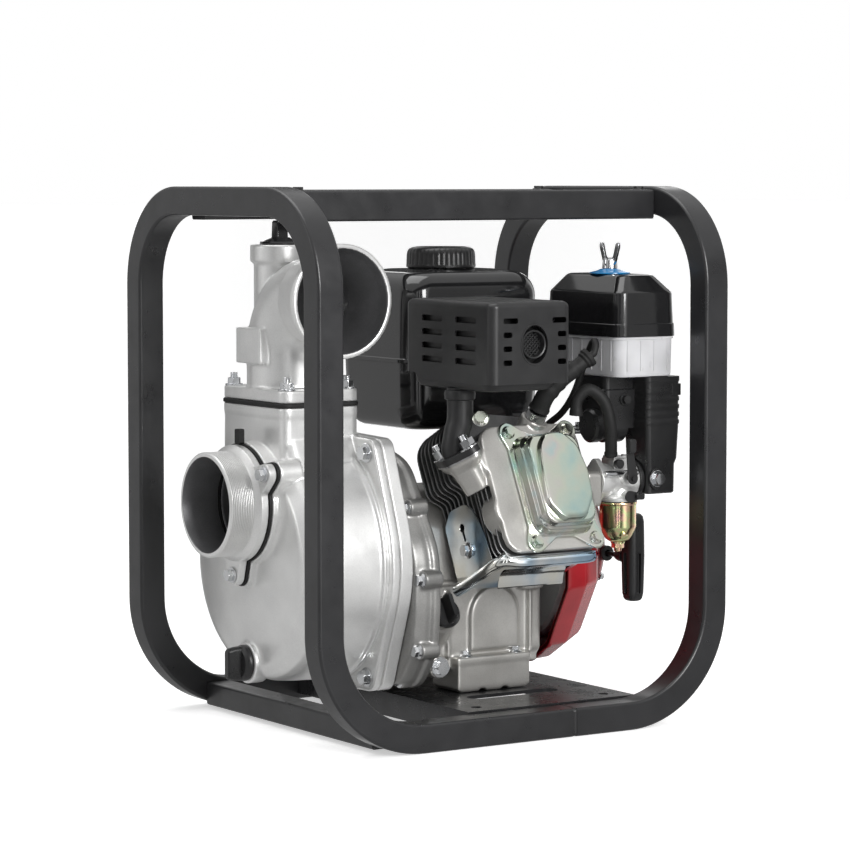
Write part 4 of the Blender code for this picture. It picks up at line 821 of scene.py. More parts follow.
def discharge_side():
    gasket = prism("neck_gasket", rounded_box(0.0533, 0.0385, 0.009, 8, NECK_X, NECK_Y), 0.2722, 0.2759, RUBBER, FLAT)
    cut(gasket, prism("hole", circle(0.031, 64, NECK_X, NECK_Y), 0.26, 0.29, RUBBER, FLAT))
    fixed(bevelled(gasket, 0.0012, 4), "rubber", "elbow_gasket")
    flange = prism("elbow", rounded_box(0.0525, 0.0377, 0.009, 6, NECK_X, NECK_Y), 0.2761, 0.2866, ALUMINIUM, FLAT)
    barrel = swept("barrel", elbow_line(0.281, 0.03), circle(0.0365, 64), ALUMINIUM)
    centre = (0, NECK_Y, MOUTH_Z)
    mouth = turned("mouth", mm((0, 6), (34.5, 6), (36.8, 14), (39.5, 23.5), (42.5, 34), (44.8, 43), (46.6, 48.5),
            (47.5, 50), (47.5, 56), (0, 56)), ALUMINIUM, centre, X_AXIS, 96)
    tower = turned("tower", mm((0, 325), (22, 325), (22, 390), (25, 392), (25, 406), (0, 406)), ALUMINIUM, (-0.043,
            NECK_Y - 0.002, 0), Z_AXIS, 64)
    pad = block("pad", (-0.051, -0.157, 0.307), (-0.011, -0.13, 0.337), ALUMINIUM)
    join(flange, barrel, mouth, tower, pad)
    inside = swept("inside", elbow_line(0.26, 0.035), circle(0.0315, 48), ALUMINIUM)
    flare = turned("flare", mm((0, 12), (31.2, 12), (33.5, 22), (37.5, 36), (41.2, 47), (43.6, 57), (43.6, 70), (0,
            70)), ALUMINIUM, centre, X_AXIS, 80)
    well = prism("well", circle(0.0155, 48, -0.043, NECK_Y - 0.002), 0.36, 0.42, ALUMINIUM, FLAT)
    cut(flange, inside, flare, well)
    cast(flange, 0.00105, 5)
    paint_bore_shade(flange, [(0.02, NECK_Y, MOUTH_Z), (0.0555, NECK_Y, MOUTH_Z)], lambda share: 0.048)
    paint_bore_shade(flange, elbow_line(0.281, 0.03, 8), lambda share: 0.036)
    fixed(flange, "cast_aluminium", "discharge_elbow")
    for index, (sx, sy) in enumerate(((1, -1), (1, 1), (-1, -1), (-1, 1))):
        bolt(f"elbow_nut_{index + 1}", (NECK_X + sx * 0.044, NECK_Y + sy * 0.0292, 0.2866), Z_AXIS, 0.0058, 0.005,
                1.3, stud=0.0045, spin=index * 0.7)
    origin = Vector((-0.043, NECK_Y - 0.002, 0.4063))
    handled("priming_cap", "priming_plug", origin, Z_AXIS, mm((0, -16), (14.8, -16), (14.8, 0), (16.6, 0), (17, 1.2),
            (16.4, 2.4), (12, 3.8), (8, 5.8), (0, 6)), boxes(mm((4, 5.4, 5.4, 1), (18.5, 5, 5, 1),
            (20, 4.2, 4.2, 0.8)), 5), GLOSS)


# ---------------------------------------------------------------- engine castings


OIL_OUT = Vector((cos(radians(32)), 0, sin(radians(32))))
OIL_SEAT = Vector((0.056, -0.018, 0.096))
EXHAUST_SEAT = Vector((0.078, -0.016, 0.228))
EXHAUST_OUT = Vector((-0.25, -0.45, 0.86)).normalized()
PLUG_SEAT = Vector((0.0775, 0.06, 0.259))
PLUG_OUT = Vector((0.5, 0.15, 0.85)).normalized()


def crank_case():
    outline = mm((-98, 36), (58, 36), (82, 70), (86, 112), (84, 152), (40, 222), (10, 232), (-58, 232), (-100, 200),
            (-116, 150), (-114, 80))
    centre = Vector((-0.015, 0.134))
    soft = softened(outline, 0.014, 6)

    def grown(rows):
        return [(y, about(soft, centre.x, centre.y, factor)) for y, factor in rows]

    # The gear-side cover and its rim take the darker copy of the engine casting: painted shade.
    cover = lofted("gear_cover", grown([(-0.0652, 0.965), (-0.0635, 0.985), (-0.054, 1.0), (-0.0402, 1.0)]), SHADED_ENGINE,
            ACROSS_Y)
    rim = lofted("rim", grown([(-0.0485, 1.0), (-0.0475, 1.018), (-0.041, 1.018), (-0.0402, 1.0)]), SHADED_ENGINE, ACROSS_Y)
    cut(cover, drill(CRANK_X, CRANK_Z, -0.07, -0.03, 0.013))
    bosses = ((0.08, 0.07), (0.085, 0.13), (0.062, 0.188), (0.05, 0.042))
    gather(cover, rim, *[drill(x, z, -0.0585, -0.0405, 0.0072, 32) for x, z in bosses])
    fixed(cast(cover, 0.0012, 5), "engine_casting", "side_cover")
    for index, (x, z) in enumerate(bosses):
        bolt(f"cover_bolt_{index + 1}", (x, -0.0583, z), -Y_AXIS, 0.0048, 0.0042, 0, flanged=True, spin=index)

    outline = softened(mm((-104, 52), (44, 52), (44, 120), (30, 172), (0, 196), (-60, 196), (-104, 170)), 0.01, 5)
    case = prism("engine_case", outline, -0.0397, 0.0905, ENGINE, ACROSS_Y)
    band = lofted("band", [(-0.0397, outline), (-0.033, outline)], ENGINE, ACROSS_Y)
    arch = [(0.016, 0.06)]
    arch += [(0.041 + 0.025 * cos(pi - pi * k / 24), 0.088 + 0.027 * sin(pi * k / 24)) for k in range(25)]
    arch += [(0.066, 0.06)]
    panel = lofted("panel", [(0.04, arch), (0.0462, arch), (0.0472, about(arch, 0.041, 0.082, 0.95))], ENGINE,
            ACROSS_X)
    feet = (((0.012, 0.0, 0.028), (0.052, 0.074, 0.0525)), ((0.012, 0.003, 0.0258), (0.051, 0.022, 0.03)), ((0.012,
            0.029, 0.0258), (0.051, 0.045, 0.03)), ((0.012, 0.052, 0.0258), (0.051, 0.071, 0.03)), ((0.036, -0.001,
            0.05), (0.0525, 0.075, 0.056)), ((-0.108, 0.0, 0.0258), (-0.07, 0.074, 0.056)), ((-0.1, -0.036, 0.046),
            (0.042, 0.088, 0.06)))
    ribs = (((0.038, 0.0755, 0.056), (0.0485, 0.079, 0.118)), ((0.038, -0.008, 0.056), (0.0475, -0.0045, 0.112)),
            ((0.038, -0.03, 0.118), (0.049, 0.086, 0.1215)))
    blocks = [block("block", low, high, ENGINE) for low, high in feet + ribs]
    filler = prism("filler", circle(0.0128, 40), 0, 0.016, ENGINE, place(OIL_SEAT - OIL_OUT * 0.016, OIL_OUT))
    root = lofted("root", [(-0.03, circle(0.026, 40)), (-0.012, circle(0.02, 40)), (0.01, circle(0.0145, 40))],
            ENGINE, place(OIL_SEAT - OIL_OUT * 0.016, OIL_OUT))
    drain = prism("drain", circle(0.01, 32, -0.02, 0.05), 0.03, 0.054, ENGINE, ACROSS_X)
    barrel = prism("barrel", circle(0.0405, 64), 0.03, 0.1175, ENGINE, cylinder_frame(0.047))
    gather(case, band, panel, *blocks, filler, root, drain, barrel)
    bracket = prism("arm", softened(mm((64, 110), (90, 110), (90, 168), (60, 168)), 0.006, 4), 0.02, 0.052, ENGINE,
            ACROSS_X)
    gather(case, bracket)
    fixed(cast(case, 0.0012, 5), "engine_casting", "crankcase")
    for index, y in enumerate((0.012, 0.063)):
        bolt(f"foot_bolt_{index + 1}", (0.0445, y, 0.0558), Z_AXIS, 0.0048, 0.004, 0, flanged=True, spin=index)
    bolt("sump_drain_bolt", (0.0538, -0.02, 0.05), X_AXIS, 0.0062, 0.0052, 1.4)

    seat = OIL_SEAT + OIL_OUT * 0.0003
    handled("oil_filler_cap", "oil_cap", seat, OIL_OUT, mm((0, -16), (6.6, -16), (6.6, 0), (13.6, 0), (14.2, 0.7),
            (14.2, 3.6), (13.2, 5), (11.2, 7.2), (0, 7.6)), boxes(mm((4, 3.6, 12.6, 3), (14, 2.8, 12.2, 2.6), (18,
            1.8, 10.2, 1.7)), 6))


COVER_Y = 0.0565


def plates(name, heights, thick, outline, lip):
    """Thin fins across the cylinder's axis, with worn edges, in the dark fin casting: painted shade of the gaps
    between fins.
    """
    return gather(*[lofted(name, [(s, lip), (s + 0.0005, outline), (s + thick, outline), (s + thick + 0.0005, lip)],
            FIN_SHADE, cylinder_frame()) for s in heights])


def cylinder():
    outline = softened(mm((1, 16), (-11.5, 24), (-11.5, 66), (6, 83), (80, 74), (93, 50), (93, -54), (1, -54)),
            [0.004, 0.006, 0.01, 0.012, 0.016, 0.012, 0.015, 0.015], 6)
    fins = [0.0615 + 0.0064 * k for k in range(9)]
    fixed(plates("cylinder_fins", fins, 0.0014, outline, about(outline, 0.041, 0.012, 0.985)), "engine_casting")
    posts = [prism("cylinder_posts", circle(0.0062, 24, y, w), 0.058, 0.1179, FIN_SHADE, cylinder_frame()) for y in (0.01,
            0.084) for w in (-0.041, 0.041)]
    fixed(gather(*posts), "engine_casting")

    base = rounded_box(0.049, 0.056, 0.014, 6, 0.048, 0)
    core = rounded_box(0.04, 0.047, 0.012, 6, 0.052, 0)
    head = lofted("head", [(0.118, core), (0.139, core), (0.1402, base), (0.146, base)], ENGINE, cylinder_frame())
    fixed(plates("head_fins", (0.1195, 0.1259, 0.1323), 0.0015, base, about(base, 0.048, 0, 0.985)), "engine_casting")
    under = place(EXHAUST_SEAT, EXHAUST_OUT, -Y_AXIS)
    flange = lobed(0.014, [(0.0205, 0, 0.0065), (-0.0205, 0, 0.0065)], 48)
    neck, root = scaled(flange, 0.58, 0.92), scaled(flange, 0.5, 0.85)
    port = lofted("port", [(0, flange), (-0.004, flange), (-0.01, neck), (-0.03, root)], ENGINE, under)
    inlet = prism("inlet", rounded_box(0.016, 0.015, 0.004, 4, 0.094, 0.199), 0.0936, 0.107, ENGINE, ACROSS_Y)
    boss = prism("boss", circle(0.0115, 40), -0.014, 0, ENGINE, place(PLUG_SEAT, PLUG_OUT))
    bulge = lofted("bulge", [(0.128, circle(0.02, 32, 0.008, 0.03)), (0.14, circle(0.0175, 32, 0.007, 0.028)),
            (0.1455, circle(0.013, 32, 0.008, 0.026))], ENGINE, cylinder_frame())
    bulge2 = lofted("bulge", [(0.126, circle(0.022, 32, 0.016, -0.018)), (0.1455, circle(0.018, 32, 0.014, -0.018))],
            ENGINE, cylinder_frame())
    gather(head, port, inlet, boss, bulge, bulge2)
    fixed(cast(head, 0.001, 4), "engine_casting", "cylinder_head")

    shapes = [hull(rounded_box(0.0345, 0.0465, 0.014, 8))]
    shapes += [hull(circle(0.009, 40, sx * 0.03, sy * 0.049) + circle(0.018, 40, sx * 0.012, sy * 0.027))
            for sx in (1, -1) for sy in (1, -1)]
    wide = outermost(shapes)
    face = cylinder_frame(COVER_Y)
    sheet = lofted("rocker_cover", tapered(wide, [(0.1463, 1), (0.1478, 1), (0.1484, 0.988)]), ZINC_YELLOW, face, 50)
    skirt = rounded_box(0.03, 0.044, 0.013, 10)
    steps = [(0.148, 1.03, 1.02), (0.1492, 1.0, 1.0), (0.1508, 0.975, 0.982), (0.156, 0.955, 0.968), (0.1572, 0.94,
            0.957), (0.1582, 0.9, 0.93), (0.1592, 0.88, 0.915), (0.1635, 0.862, 0.9), (0.1648, 0.842, 0.885), (0.1655,
            0.81, 0.86)]
    dome = lofted("dome", [(s, scaled(skirt, a, b)) for s, a, b in steps], ZINC_YELLOW, face, 60)
    panel = softened(mm((-16.5, 29), (-7.5, 38.5), (8.5, 39), (20, 27), (24.5, 4), (22.2, -20), (11, -36.2), (-12,
            -36.2), (-22.8, -21.5), (-20.5, 5)), 0.005, 5)
    raised = lofted("raised", tapered(panel, [(0.164, 1.07), (0.1662, 1.05), (0.169, 1.02), (0.17, 1.0), (0.1704,
            0.97), (0.1706, 0.9), (0.171, 0.3)]), ZINC_YELLOW, face, 60)
    gather(sheet, dome, raised)
    step = sheet.modifiers.new("flow", "BEVEL")
    step.width, step.segments, step.limit_method, step.angle_limit = 0.0005, 2, "ANGLE", radians(28)
    evaluated(sheet)
    sheet.data.shade_smooth()
    fixed(sheet, "zinc_yellow", "valve_cover")
    seal = prism("cover_seal", scaled(wide, 0.985), 0.1458, 0.1464, RUBBER, face)
    fixed(seal)
    for index, (sx, sy) in enumerate(((1, 1), (-1, 1), (-1, -1), (1, -1))):
        point = on_cylinder(0.1484, sy * 0.049, COVER_Y + sx * 0.03)
        bolt(f"cover_screw_{index + 1}", point, AXIS, 0.0042, 0.0034, 0, mat=ZINC_YELLOW, flanged=True,
                spin=index * 0.5, slot="zinc_yellow")


def shroud():
    """Bright folded sheet that keeps the fan's air on the fins."""
    outline = softened(mm((64, -59), (122, -59), (118, -20), (108, 4), (78, 6), (66, -4)), [0.004, 0.004, 0.01, 0.012,
            0.004, 0.004], 6)
    turn = Matrix.Translation(CRANK) @ Matrix((AXIS, UP, Y_AXIS)).transposed().to_4x4()
    side = prism("air_guide", outline, -0.0034, -0.0022, BLUE_ZINC, turn)
    keyhole = prism("k", circle(0.0036, 32, 0.0905, -0.013), -0.006, 0.001, BLUE_ZINC, turn)
    keyslot = prism("k", rounded_box(0.0016, 0.006, 0.0015, 4, 0.0905, -0.019), -0.006, 0.001, BLUE_ZINC, turn)
    cut(side, keyhole, keyslot)
    lip = []
    for k in range(11):
        a = pi / 2 * k / 10
        lip.append((-0.0028 + 0.006 * (1 - cos(a)), -0.053 - 0.006 * sin(a)))
    lip += [(0.02, -0.059), (0.06, -0.0592), (0.088, -0.0592)]
    inner = []
    for i, (a, b) in enumerate(lip):
        n = Vector((lip[min(i + 1, len(lip) - 1)][0] - lip[max(i - 1, 0)][0], lip[min(i + 1,
                len(lip) - 1)][1] - lip[max(i - 1, 0)][1])).normalized()
        inner.append((a - n.y * 0.0011, b + n.x * 0.0011))
    fold = prism("fold", lip + inner[::-1], 0.064, 0.141, BLUE_ZINC, cylinder_frame())
    bead = swept("bead", smooth_path([on_cylinder(0.065, -0.06, -0.0062), on_cylinder(0.105, -0.0605, -0.0066),
            on_cylinder(0.124, -0.0595, -0.006), on_cylinder(0.1335, -0.059, -0.001), on_cylinder(0.1375, -0.062,
            0.012), on_cylinder(0.1385, -0.0625, 0.03), on_cylinder(0.1385, -0.0625, 0.074), on_cylinder(0.137,
            -0.061, 0.086)], 6), circle(0.005, 28), BLUE_ZINC)
    low = [(0.118 - 0.0125 * sin(pi / 2 * k / 16), 0.1215 + 0.0165 * cos(pi / 2 * k / 16)) for k in range(17)]
    low += [(x - 0.0008, z - 0.0009) for x, z in low[::-1]]
    trough = prism("trough", low, 0.004, 0.07, BLUE_ZINC, ACROSS_Y)
    gather(bevelled(side, 0.0003, 2), fold, bead, trough)
    fixed(side, "bright_zinc", "air_shroud")
    point = on_cylinder(0.0905, -0.033, -0.0034)
    bolt("shroud_bolt", point, -Y_AXIS, 0.0052, 0.004, 0, flanged=True)
    point = on_cylinder(0.131, -0.0592, 0.052)
    bolt("shroud_screw", point, -UP, 0.004, 0.003, 0, flanged=True)


# ---------------------------------------------------------------- exhaust


OUTLET = (0.0125, 0.326)


def exhaust():
    cx, cy, hx, hy = 0.0805, 0.00975, 0.0655, 0.04025

    def level(inset, z, radius=0.0075):
        return (z, rounded_box(hx - inset, hy - inset, radius, 8, cx, cy))

    outer = [level(0, 0.2935), level(0, 0.3562), level(0.0004, 0.358), level(0.0014, 0.3596), level(0.003, 0.3606),
            level(0.005, 0.361), level(0.01, 0.3612), level(0.02, 0.3612)]
    inner = [level(0.0016, 0.28, 0.006), level(0.0016, 0.356, 0.006), level(0.004, 0.3592, 0.006), level(0.01, 0.3598,
            0.006)]
    guard = lofted("guard", outer, SATIN, FLAT)
    cutters = [lofted("hollow", inner, SATIN, FLAT), prism("corner", mm((10, 290), (43, 290), (31, 299), (10, 300)),
            -0.06, 0.08, SATIN, ACROSS_Y)]
    for row in range(4):
        z = 0.3114 + 0.0114 * row
        for x in (0.0575, 0.108):
            cutters += [prism("slot", rounded_box(0.0155, 0.0025, 0.0018, 4, x, z), low, high, SATIN, ACROSS_Y)
                    for low, high in ((-0.045, -0.02), (0.04, 0.06))]
        reach = 0.0072 if row == 3 else 0.0044
        cutters += [prism("slot", rounded_box(reach, 0.0023, 0.0016, 4, y, z), 0.14, 0.16, SATIN, ACROSS_X)
                for y in (-0.0185 + reach, 0.0445 - reach)]
    oval = scaled(circle(0.0136, 64), 0.94, 1.16)
    cutters.append(prism("outlet", moved(oval, *OUTLET), 0.14, 0.16, SATIN, ACROSS_X))
    cut(guard, *cutters)
    bevelled(guard, 0.0004, 2, 50)
    rim = lofted("rim", [(x, moved(scaled(oval, factor), *OUTLET)) for x, factor in ((0.1459, 1.1), (0.1464, 1.08),
            (0.1464, 1.0), (0.14, 0.98))], SATIN, ACROSS_X, 40, False)
    ring = turned("ring", mm((9, 361), (9.4, 361.4), (10.4, 361.5), (12.2, 361.5), (13, 361.3), (13.3, 360.8)), SATIN,
            (cx + 0.004, cy, 0), Z_AXIS, 64)
    gather(guard, rim, ring)
    fixed(guard, "satin_black", "muffler_guard")

    can = lofted("silencer", boxes(mm((286.6, 48, 29, 12), (288, 56, 33, 12), (292, 59, 35, 12), (298, 60, 35.5, 12),
            (299, 56, 34.5, 12), (349, 54, 34, 12), (352, 51, 31, 10)), 6), SATIN,
            Matrix.Translation((0.0795, 0.008, 0)))
    tail = turned("tail", mm((8.5, 120), (12, 120), (12, 145), (11.4, 145.5), (10.4, 145), (10.4, 136.5), (8.5,
            136.5)), SATIN, (0, *OUTLET), X_AXIS, 48)
    wires = []
    slant = cos(pi / 4)
    for k in range(-4, 5):
        shift = k * 0.0025
        reach = sqrt(max(0, 0.0104 ** 2 - shift ** 2))
        for turn in (1, -1):
            ends = [Vector((0.1385, OUTLET[0] + (shift - turn * end * reach) * slant, OUTLET[1] + (turn * shift
                    + end * reach) * slant)) for end in (1, -1)]
            wires.append(swept("spark_screen", ends, rounded_box(0.00045, 0.00045, 0.0002, 2), SATIN))
    gather(can, tail, *wires)
    fixed(can, "satin_black", "muffler")

    under = place(EXHAUST_SEAT, EXHAUST_OUT, -Y_AXIS)
    lug = lobed(0.015, [(0.0205, 0, 0.0078), (-0.0205, 0, 0.0078)], 64)
    flange = lofted("manifold", tapered(lug, [(0.0003, 0.97), (0.001, 1), (0.0058, 1), (0.0066, 0.97)]), SATIN, under)
    x, y, z = EXHAUST_SEAT
    up = [EXHAUST_SEAT + EXHAUST_OUT * 0.003, EXHAUST_SEAT + EXHAUST_OUT * 0.009, Vector((x - 0.0015, y - 0.0035, z
            + 0.015)), Vector((x - 0.001, y - 0.002, z + 0.024)), Vector((x, y, z + 0.034)), Vector((x, y, 0.288))]
    gather(flange, swept("pipe", smooth_path(up, 5), circle(0.011, 48), SATIN))
    gather(flange, turned("collar", mm((10, 277), (12.8, 278.5), (13.2, 283), (12.5, 286), (10, 286.5)), SATIN,
            (x, y, 0), Z_AXIS, 48))
    fixed(flange, "satin_black", "exhaust_pipe")
    plate = prism("manifold_gasket", scaled(lug, 1.02), -0.0004, 0.0008, STEEL, under)
    fixed(plate)
    for index, side in enumerate((1, -1)):
        seat = under @ Vector((side * 0.0205, 0, 0.0064))
        bolt(f"manifold_nut_{index + 1}", seat, EXHAUST_OUT, 0.0068, 0.0062, 1.25, stud=0.0045, mat=CHROME,
                spin=0.3 * index)
    bolt("bracket_bolt", (0.096, -0.007, 0.263), Vector((0.75, -0.55, 0.35)), 0.0052, 0.0046, 0, mat=ZINC_YELLOW,
            flanged=True, slot="zinc_yellow")


# ---------------------------------------------------------------- fuel tank and air cleaner


TANK_X, TANK_Y = -0.0545, 0.052


def rise(low, high, start, end, steps, bulge=1):
    """Heights and insets along a quarter of an ellipse, from the side (start) to the flat (end)."""
    found = []
    for k in range(steps + 1):
        a = pi / 2 * k / steps
        if bulge > 0:
            found.append((low + (high - low) * sin(a), start + (end - start) * (1 - cos(a))))
        else:
            found.append((low + (high - low) * (1 - cos(a)), start + (end - start) * sin(a)))
    return found


def tank():
    def ring(z, inset, radius=0.02):
        return (z, rounded_box(0.0605 - inset, 0.07 - inset, radius, 10, TANK_X, TANK_Y))

    lower = [ring(0.246, 0.017, 0.014), ring(0.2466, 0.013, 0.016), ring(0.2486, 0.009, 0.018), ring(0.252, 0.0058),
            ring(0.258, 0.0032), ring(0.268, 0.0016), ring(0.286, 0.0006), ring(0.3036, 0.0)]
    seam = boxes(mm((304.2, 61.5, 71, 20.5), (304.5, 64, 73.5, 22), (307, 64, 73.5, 22), (307.3, 61.2, 70.8, 20.5)),
            10, at=(TANK_X, TANK_Y))
    upper = [ring(0.308, 0.0), ring(0.34, 0.0006), ring(0.356, 0.0014)]
    upper += [ring(z, inset, 0.019) for z, inset in rise(0.36, 0.3815, 0.0016, 0.017, 8)]
    upper += [ring(0.3822, 0.023, 0.016), ring(0.383, 0.03, 0.012), ring(0.383, 0.032, 0.01)]
    body = lofted("tank", lower + seam + upper, GLOSS, FLAT, 40)
    cut(body, prism("hole", circle(0.0185, 64, TANK_X, TANK_Y), 0.37, 0.4, GLOSS, FLAT), lofted("hollow", [ring(0.25,
            0.018, 0.012), ring(0.262, 0.006, 0.014), ring(0.355, 0.006, 0.014), ring(0.38, 0.022, 0.01)], GLOSS,
            FLAT))
    gather(body, turned("neck_ring", mm((18.5, 380), (22.5, 380), (22.5, 383.8), (21.5, 384.2), (18.5, 384.2)), GLOSS,
            (TANK_X, TANK_Y, 0), Z_AXIS, 64))
    fixed(body, "gloss_black", "fuel_tank")

    def ribbed(radius, depth, count=36, steps=216):
        return [((radius - depth * (0.5 - 0.5 * cos(count * 2 * pi * k / steps)) ** 3) * cos(2 * pi * k / steps),
                (radius - depth * (0.5 - 0.5 * cos(count * 2 * pi * k / steps)) ** 3) * sin(2 * pi * k / steps))
                for k in range(steps)]

    at = Matrix.Translation((TANK_X, TANK_Y, 0.3833))
    cap = lofted("tank_cap", [(0.0, ribbed(0.0285, 0)), (0.0012, ribbed(0.0303, 0)), (0.003, ribbed(0.0305, 0)),
            (0.0036, ribbed(0.0303, 0.0005)), (0.012, ribbed(0.03, 0.0007)), (0.015, ribbed(0.0294, 0.0004)), (0.017,
            ribbed(0.028, 0)), (0.0183, ribbed(0.0255, 0)), (0.0189, ribbed(0.0215, 0)), (0.019, ribbed(0.014, 0)),
            (0.0186, ribbed(0.012, 0)), (0.0185, ribbed(0.005, 0))], BLACK_PLASTIC, at, 50)
    skirt = turned("skirt", mm((0, -8), (16.5, -8), (16.5, 1), (0, 1)), BLACK_PLASTIC, (TANK_X, TANK_Y, 0.3833),
            Z_AXIS, 48)
    piece(gather(cap, skirt), "fuel_cap", "satin_black", "fuel_cap")


def air_cleaner():
    cx, cy = 0.0695, 0.145

    def ring(z, inset, radius=0.009):
        return (z, rounded_box(0.0555 - inset, 0.032 - inset, radius, 8, cx, cy))

    case = lofted("filter_case", [ring(0.2937, 0.005, 0.007), ring(0.2941, 0.0036, 0.008), ring(0.295, 0.0028),
            ring(0.2962, 0.0024), ring(0.3255, 0.002), ring(0.3258, 0.001), ring(0.3277, 0.001)], WHITE, FLAT, 40)
    cut(case, prism("hollow", rounded_box(0.051, 0.0275, 0.006, 6, cx, cy), 0.2975, 0.34, WHITE, FLAT))
    ribs = []
    for k in range(7):
        x = cx - 0.042 + 0.014 * k
        ribs.append(block("rib", (x - 0.0004, cy - 0.0303, 0.299), (x + 0.0004, cy - 0.0296, 0.325), WHITE))
    for k in range(4):
        y = cy - 0.021 + 0.014 * k
        ribs.append(block("rib", (cx + 0.0532, y - 0.0004, 0.299), (cx + 0.0539, y + 0.0004, 0.325), WHITE))
    gather(case, *ribs)
    fixed(case, "filter_white", "air_cleaner_case")
    fixed(thread(0.003, (0.074, 0.141, 0), Z_AXIS, 0.296, 0.392, 0.001, ZINC, 24), "bright_zinc").name = "filter_stud"

    def lid(z, inset, lean=0.0, radius=0.01):
        outline = rounded_box(0.0555 - inset, 0.032 - inset, radius, 8, cx - lean, cy)
        return (z, outline)

    cover = lofted("filter_cover", [lid(0.328, 0.0), lid(0.3284, -0.0), lid(0.3385, 0.0003), lid(0.3388, 0.0009),
            lid(0.364, 0.0018), lid(0.3655, 0.0022, 0, 0.0105), lid(0.3668, 0.0032, 0, 0.0105), lid(0.378, 0.0118,
            0.001, 0.01), lid(0.3792, 0.0132, 0.001, 0.009), lid(0.38, 0.0155, 0.001, 0.008)], GLOSS, FLAT, 34)
    cut(cover, lofted("hollow", [lid(0.32, 0.002), lid(0.365, 0.004), lid(0.378, 0.015, 0.001)], GLOSS, FLAT),
            prism("hole", circle(0.0036, 24, 0.074, 0.141), 0.37, 0.39, GLOSS, FLAT))
    fixed(bevelled(cover, 0.0006, 3, 28), "gloss_black", "air_cleaner_cover")

    origin = Vector((0.074, 0.141, 0.3803))
    washer = turned("filter_washer", mm((3.6, 0), (17.1, 0), (17.5, 0.4), (17.4, 1), (16.6, 1.3), (11, 2.6), (8, 4),
            (3.6, 4.3)), BLUE_WASHER, origin, Z_AXIS, 64)
    nut = turned("filter_wing_nut", mm((3.4, 4.3), (6.6, 4.3), (6.8, 5), (6.2, 11), (5.2, 13), (3.4, 13.5)), CHROME,
            origin, Z_AXIS, 40)
    for side in (1, -1):
        outline = softened([(side * 0.003, 0.006), (side * 0.0085, 0.0085), (side * 0.014, 0.023), (side * 0.0135,
                0.0268), (side * 0.0095, 0.0262), (side * 0.0058, 0.015), (side * 0.003, 0.0125)], 0.003, 4)
        wing = prism("wing", outline, -0.0012, 0.0012, CHROME, Matrix.Translation(origin) @ ACROSS_Y)
        gather(nut, bevelled(wing, 0.0005, 3))
    piece(nut, "wing_nut", "bright_zinc", "wing_nut")
    piece(washer, "wing_nut", "bright_zinc")


def intake():
    x, y = 0.104, 0.164

    def ring(z, half_x, half_y, radius=0.004, dx=0.0, dy=0.0):
        return (z, rounded_box(half_x, half_y, radius, 6, x + dx, y + dy))

    sections = [ring(0.193, 0.0135, 0.0135, 0.003), ring(0.1942, 0.0148, 0.0148), ring(0.218, 0.015, 0.015),
            ring(0.223, 0.0164, 0.0164), ring(0.25, 0.0174, 0.0174)]
    z = 0.252
    for _ in range(5):
        sections += [ring(z, 0.0174, 0.0174), ring(z + 0.0012, 0.018, 0.018), ring(z + 0.0036, 0.018, 0.018), ring(z
                + 0.0046, 0.0174, 0.0174)]
        z += 0.0066
    sections += [ring(z + 0.001, 0.0174, 0.0174), ring(0.289, 0.0176, 0.0176), ring(0.2895, 0.018, 0.018),
            ring(0.2934, 0.018, 0.018)]
    duct = lofted("intake_duct", sections, BLACK_PLASTIC, FLAT, 40)
    base = lofted("base", [(0.249, rounded_box(0.0205, 0.0165, 0.005, 5, 0.0825, 0.1325)), (0.266, rounded_box(0.0215,
            0.0172, 0.005, 5, 0.082, 0.1325)), (0.2672, rounded_box(0.022, 0.0175, 0.005, 5, 0.082, 0.1325)), (0.282,
            rounded_box(0.022, 0.0175, 0.005, 5, 0.082, 0.1325)), (0.283, rounded_box(0.0205, 0.0165, 0.005, 5, 0.082,
            0.1325)), (0.2934, rounded_box(0.0205, 0.0165, 0.005, 5, 0.082, 0.1325))], BLACK_PLASTIC, FLAT)
    tube = turned("tube", mm((0, 108), (12.5, 108), (14.5, 110), (14.5, 116), (13, 118), (13, 121), (15, 123), (15,
            140), (0, 142)), BLACK_PLASTIC, (0.088, 0, 0.2515), Y_AXIS, 48)
    collar = turned("collar", mm((10.5, 145.9), (17, 145.9), (17.5, 146.6), (17.5, 148.2), (15, 149.2), (13.5, 150),
            (12, 150.5), (10.5, 150.5)), BLACK_PLASTIC, (0.098, 0, 0.205), Y_AXIS, 48)
    ear = prism("ear", softened(mm((150, 201), (156, 196), (163, 201), (163, 212), (156, 216.5), (150, 211)), 0.004,
            4), 0.118, 0.1216, BLACK_PLASTIC, ACROSS_X)
    clip = block("clip", (0.1205, 0.172, 0.277), (0.1222, 0.1815, 0.287), BLACK_PLASTIC)
    gather(duct, base, tube, collar, bevelled(ear, 0.0006, 3), bevelled(clip, 0.0004, 2))
    fixed(duct, "satin_black", "intake_elbow")
    bolt("duct_bolt", (0.1216, 0.1565, 0.2065), X_AXIS, 0.0052, 0.0048, 1.35, mat=CHROME)
    bolt("duct_base_bolt", (0.1042, 0.135, 0.274), X_AXIS, 0.004, 0.0035, 1.3, mat=SATIN, slot="satin_black")


